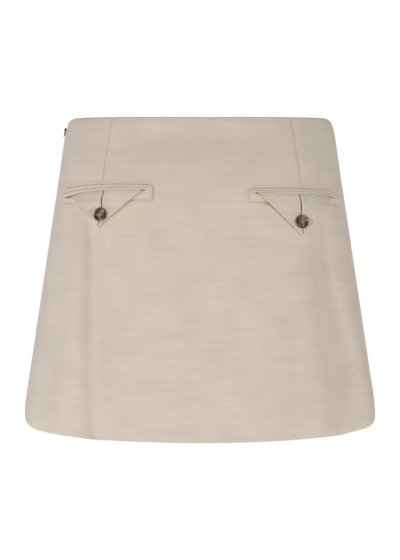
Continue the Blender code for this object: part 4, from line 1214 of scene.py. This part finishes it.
def make_shorts_half(name, sign):
    """One half of the shorts, with a few soft creases from the crotch and at the leg's end."""
    outer = np.linspace(-SEAM_TURN, SEAM_TURN, 113)
    inner = np.linspace(SEAM_TURN, 2 * math.pi - SEAM_TURN, 57)
    turns = np.concatenate([outer, inner[1:]])
    downs = np.concatenate([[0, 0.003, 0.007, 0.012, 0.018, 0.025, 0.034, 0.045], np.linspace(0.06, 0.9, 66),
                            np.linspace(0.91, 0.975, 9), [0.982, 0.988, 0.993, 0.997, 1.0]])
    piece, column, row = new_grid(name + "_cloth", len(turns), len(downs))
    turn, down = turns[column], downs[len(downs) - 1 - row]
    points, _ = shorts_surface(turn, down)
    points[:, 0] *= sign
    move_vertices(piece, points)
    lay_map(piece, turn * LEG_MAP_RADIUS, points[:, 2])
    edit_all((bpy.ops.mesh.remove_doubles, {"threshold": 0.005 * MM}))
    if sign < 0:
        piece.data.flip_normals()
    give_wall(piece, SHORTS_THICKNESS, 0.3 * MM)
    places = vertices_of(piece)
    places[:, 0] = sign * np.maximum(sign * places[:, 0], SEAM_GAP / 2)
    move_vertices(piece, places)
    apply_modifiers(piece)
    bpy.ops.object.shade_smooth()
    dress(piece, "garment", "shorts_cloth", SHORTS_CLOTH, SHORTS_CLOTH)
    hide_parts(name)


def shorts_row(sign, turn, down, out):
    """A row of places on one half, with their outward directions."""
    points, away = shorts_surface(turn, np.full(len(turn), down), out)
    return points * (sign, 1, 1), away * (sign, 1, 1)


for name, sign in (("shorts_left", -1), ("shorts_right", 1)):
    make_shorts_half(name, sign)
    round_leg = np.linspace(0, 2 * math.pi, 241) - SEAM_TURN
    sew(name + "_leg_stitching", [shorts_row(sign, round_leg, row, 0.2 * MM) for row in LEG_HEM_ROWS],
        length=2.2 * MM, pitch=2.8 * MM, width=0.36 * MM, slot="shorts_cloth")
    round_waist = np.linspace(-SEAM_TURN + 0.03, SEAM_TURN - 0.03, 161)
    points, outwards = shorts_row(sign, round_waist, WAIST_ROW, -SHORTS_THICKNESS - 0.1 * MM)
    sew(name + "_waist_stitching", [(points, -outwards)], length=2.2 * MM, pitch=2.8 * MM, width=0.36 * MM,
        slot="shorts_cloth")

# ================================================================ the room
# A pale floor below the hem, a white surround, and soft light: a warm box high at the
# left, a level one at the right, two cool ones at the side and near the floor, and one behind.
FLOOR_HEIGHT, FLOOR_RADIUS = -1.02, 2.4
bpy.ops.mesh.primitive_circle_add(vertices=96, radius=FLOOR_RADIUS, fill_type="NGON", location=(0, 0, FLOOR_HEIGHT))
floor = bpy.context.object
floor.name = "studio_floor"
pale, _, pale_shader = new_material("pale_floor")
feed(pale_shader, {"Base Color": (0.93, 0.93, 0.93, 1), "Roughness": 0.9})
floor.data.materials.append(pale)

world = bpy.context.scene.world or bpy.data.worlds.new("surround")
bpy.context.scene.world = world
world.use_nodes = True
sky = world.node_tree
sky.nodes.clear()
seen = node(sky, "ShaderNodeBackground", (0, 120), Color=(1, 1, 1, 1), Strength=1.0)
lit = node(sky, "ShaderNodeBackground", (0, -60), Color=(0.25, 0.70, 1, 1), Strength=0.18)
ray = node(sky, "ShaderNodeLightPath", (0, 420))
blend = node(sky, "ShaderNodeMixShader", (240, 60),
             {0: ray.outputs["Is Camera Ray"], 1: lit.outputs[0], 2: seen.outputs[0]})
node(sky, "ShaderNodeOutputWorld", (440, 60), {0: blend.outputs[0]})
bpy.context.scene.view_settings.view_transform = "Standard"

LIGHTS = (
    ("left_box", (-2.3, -1.7, 0.6), (0.9, 1.2), 50, (1.0, 0.80, 0.60)),
    ("right_box", (2.3, -1.7, -0.1), (0.9, 1.2), 53, (1.0, 0.91, 0.86)),
    ("side_box", (-2.6, 0.1, -0.15), (0.9, 1.6), 14, (0.35, 0.58, 1.0)),
    ("floor_box", (-0.9, -1.4, -0.98), (1.0, 1.0), 20, (0.72, 0.87, 1.0)),
    ("far_box", (0.0, 2.8, 0.9), (2.6, 1.6), 90, (1.0, 0.96, 0.92)),
)
for name, place, size, power, colour in LIGHTS:
    aim = (Vector((0, 0, -0.18)) - Vector(place)).to_track_quat("-Z", "Y")
    bpy.ops.object.light_add(type="AREA", location=place, rotation=aim.to_euler())
    box = bpy.context.object
    box.name = name
    box.data.shape = "RECTANGLE"
    box.data.size, box.data.size_y = size
    box.data.energy = power
    box.data.color = colour
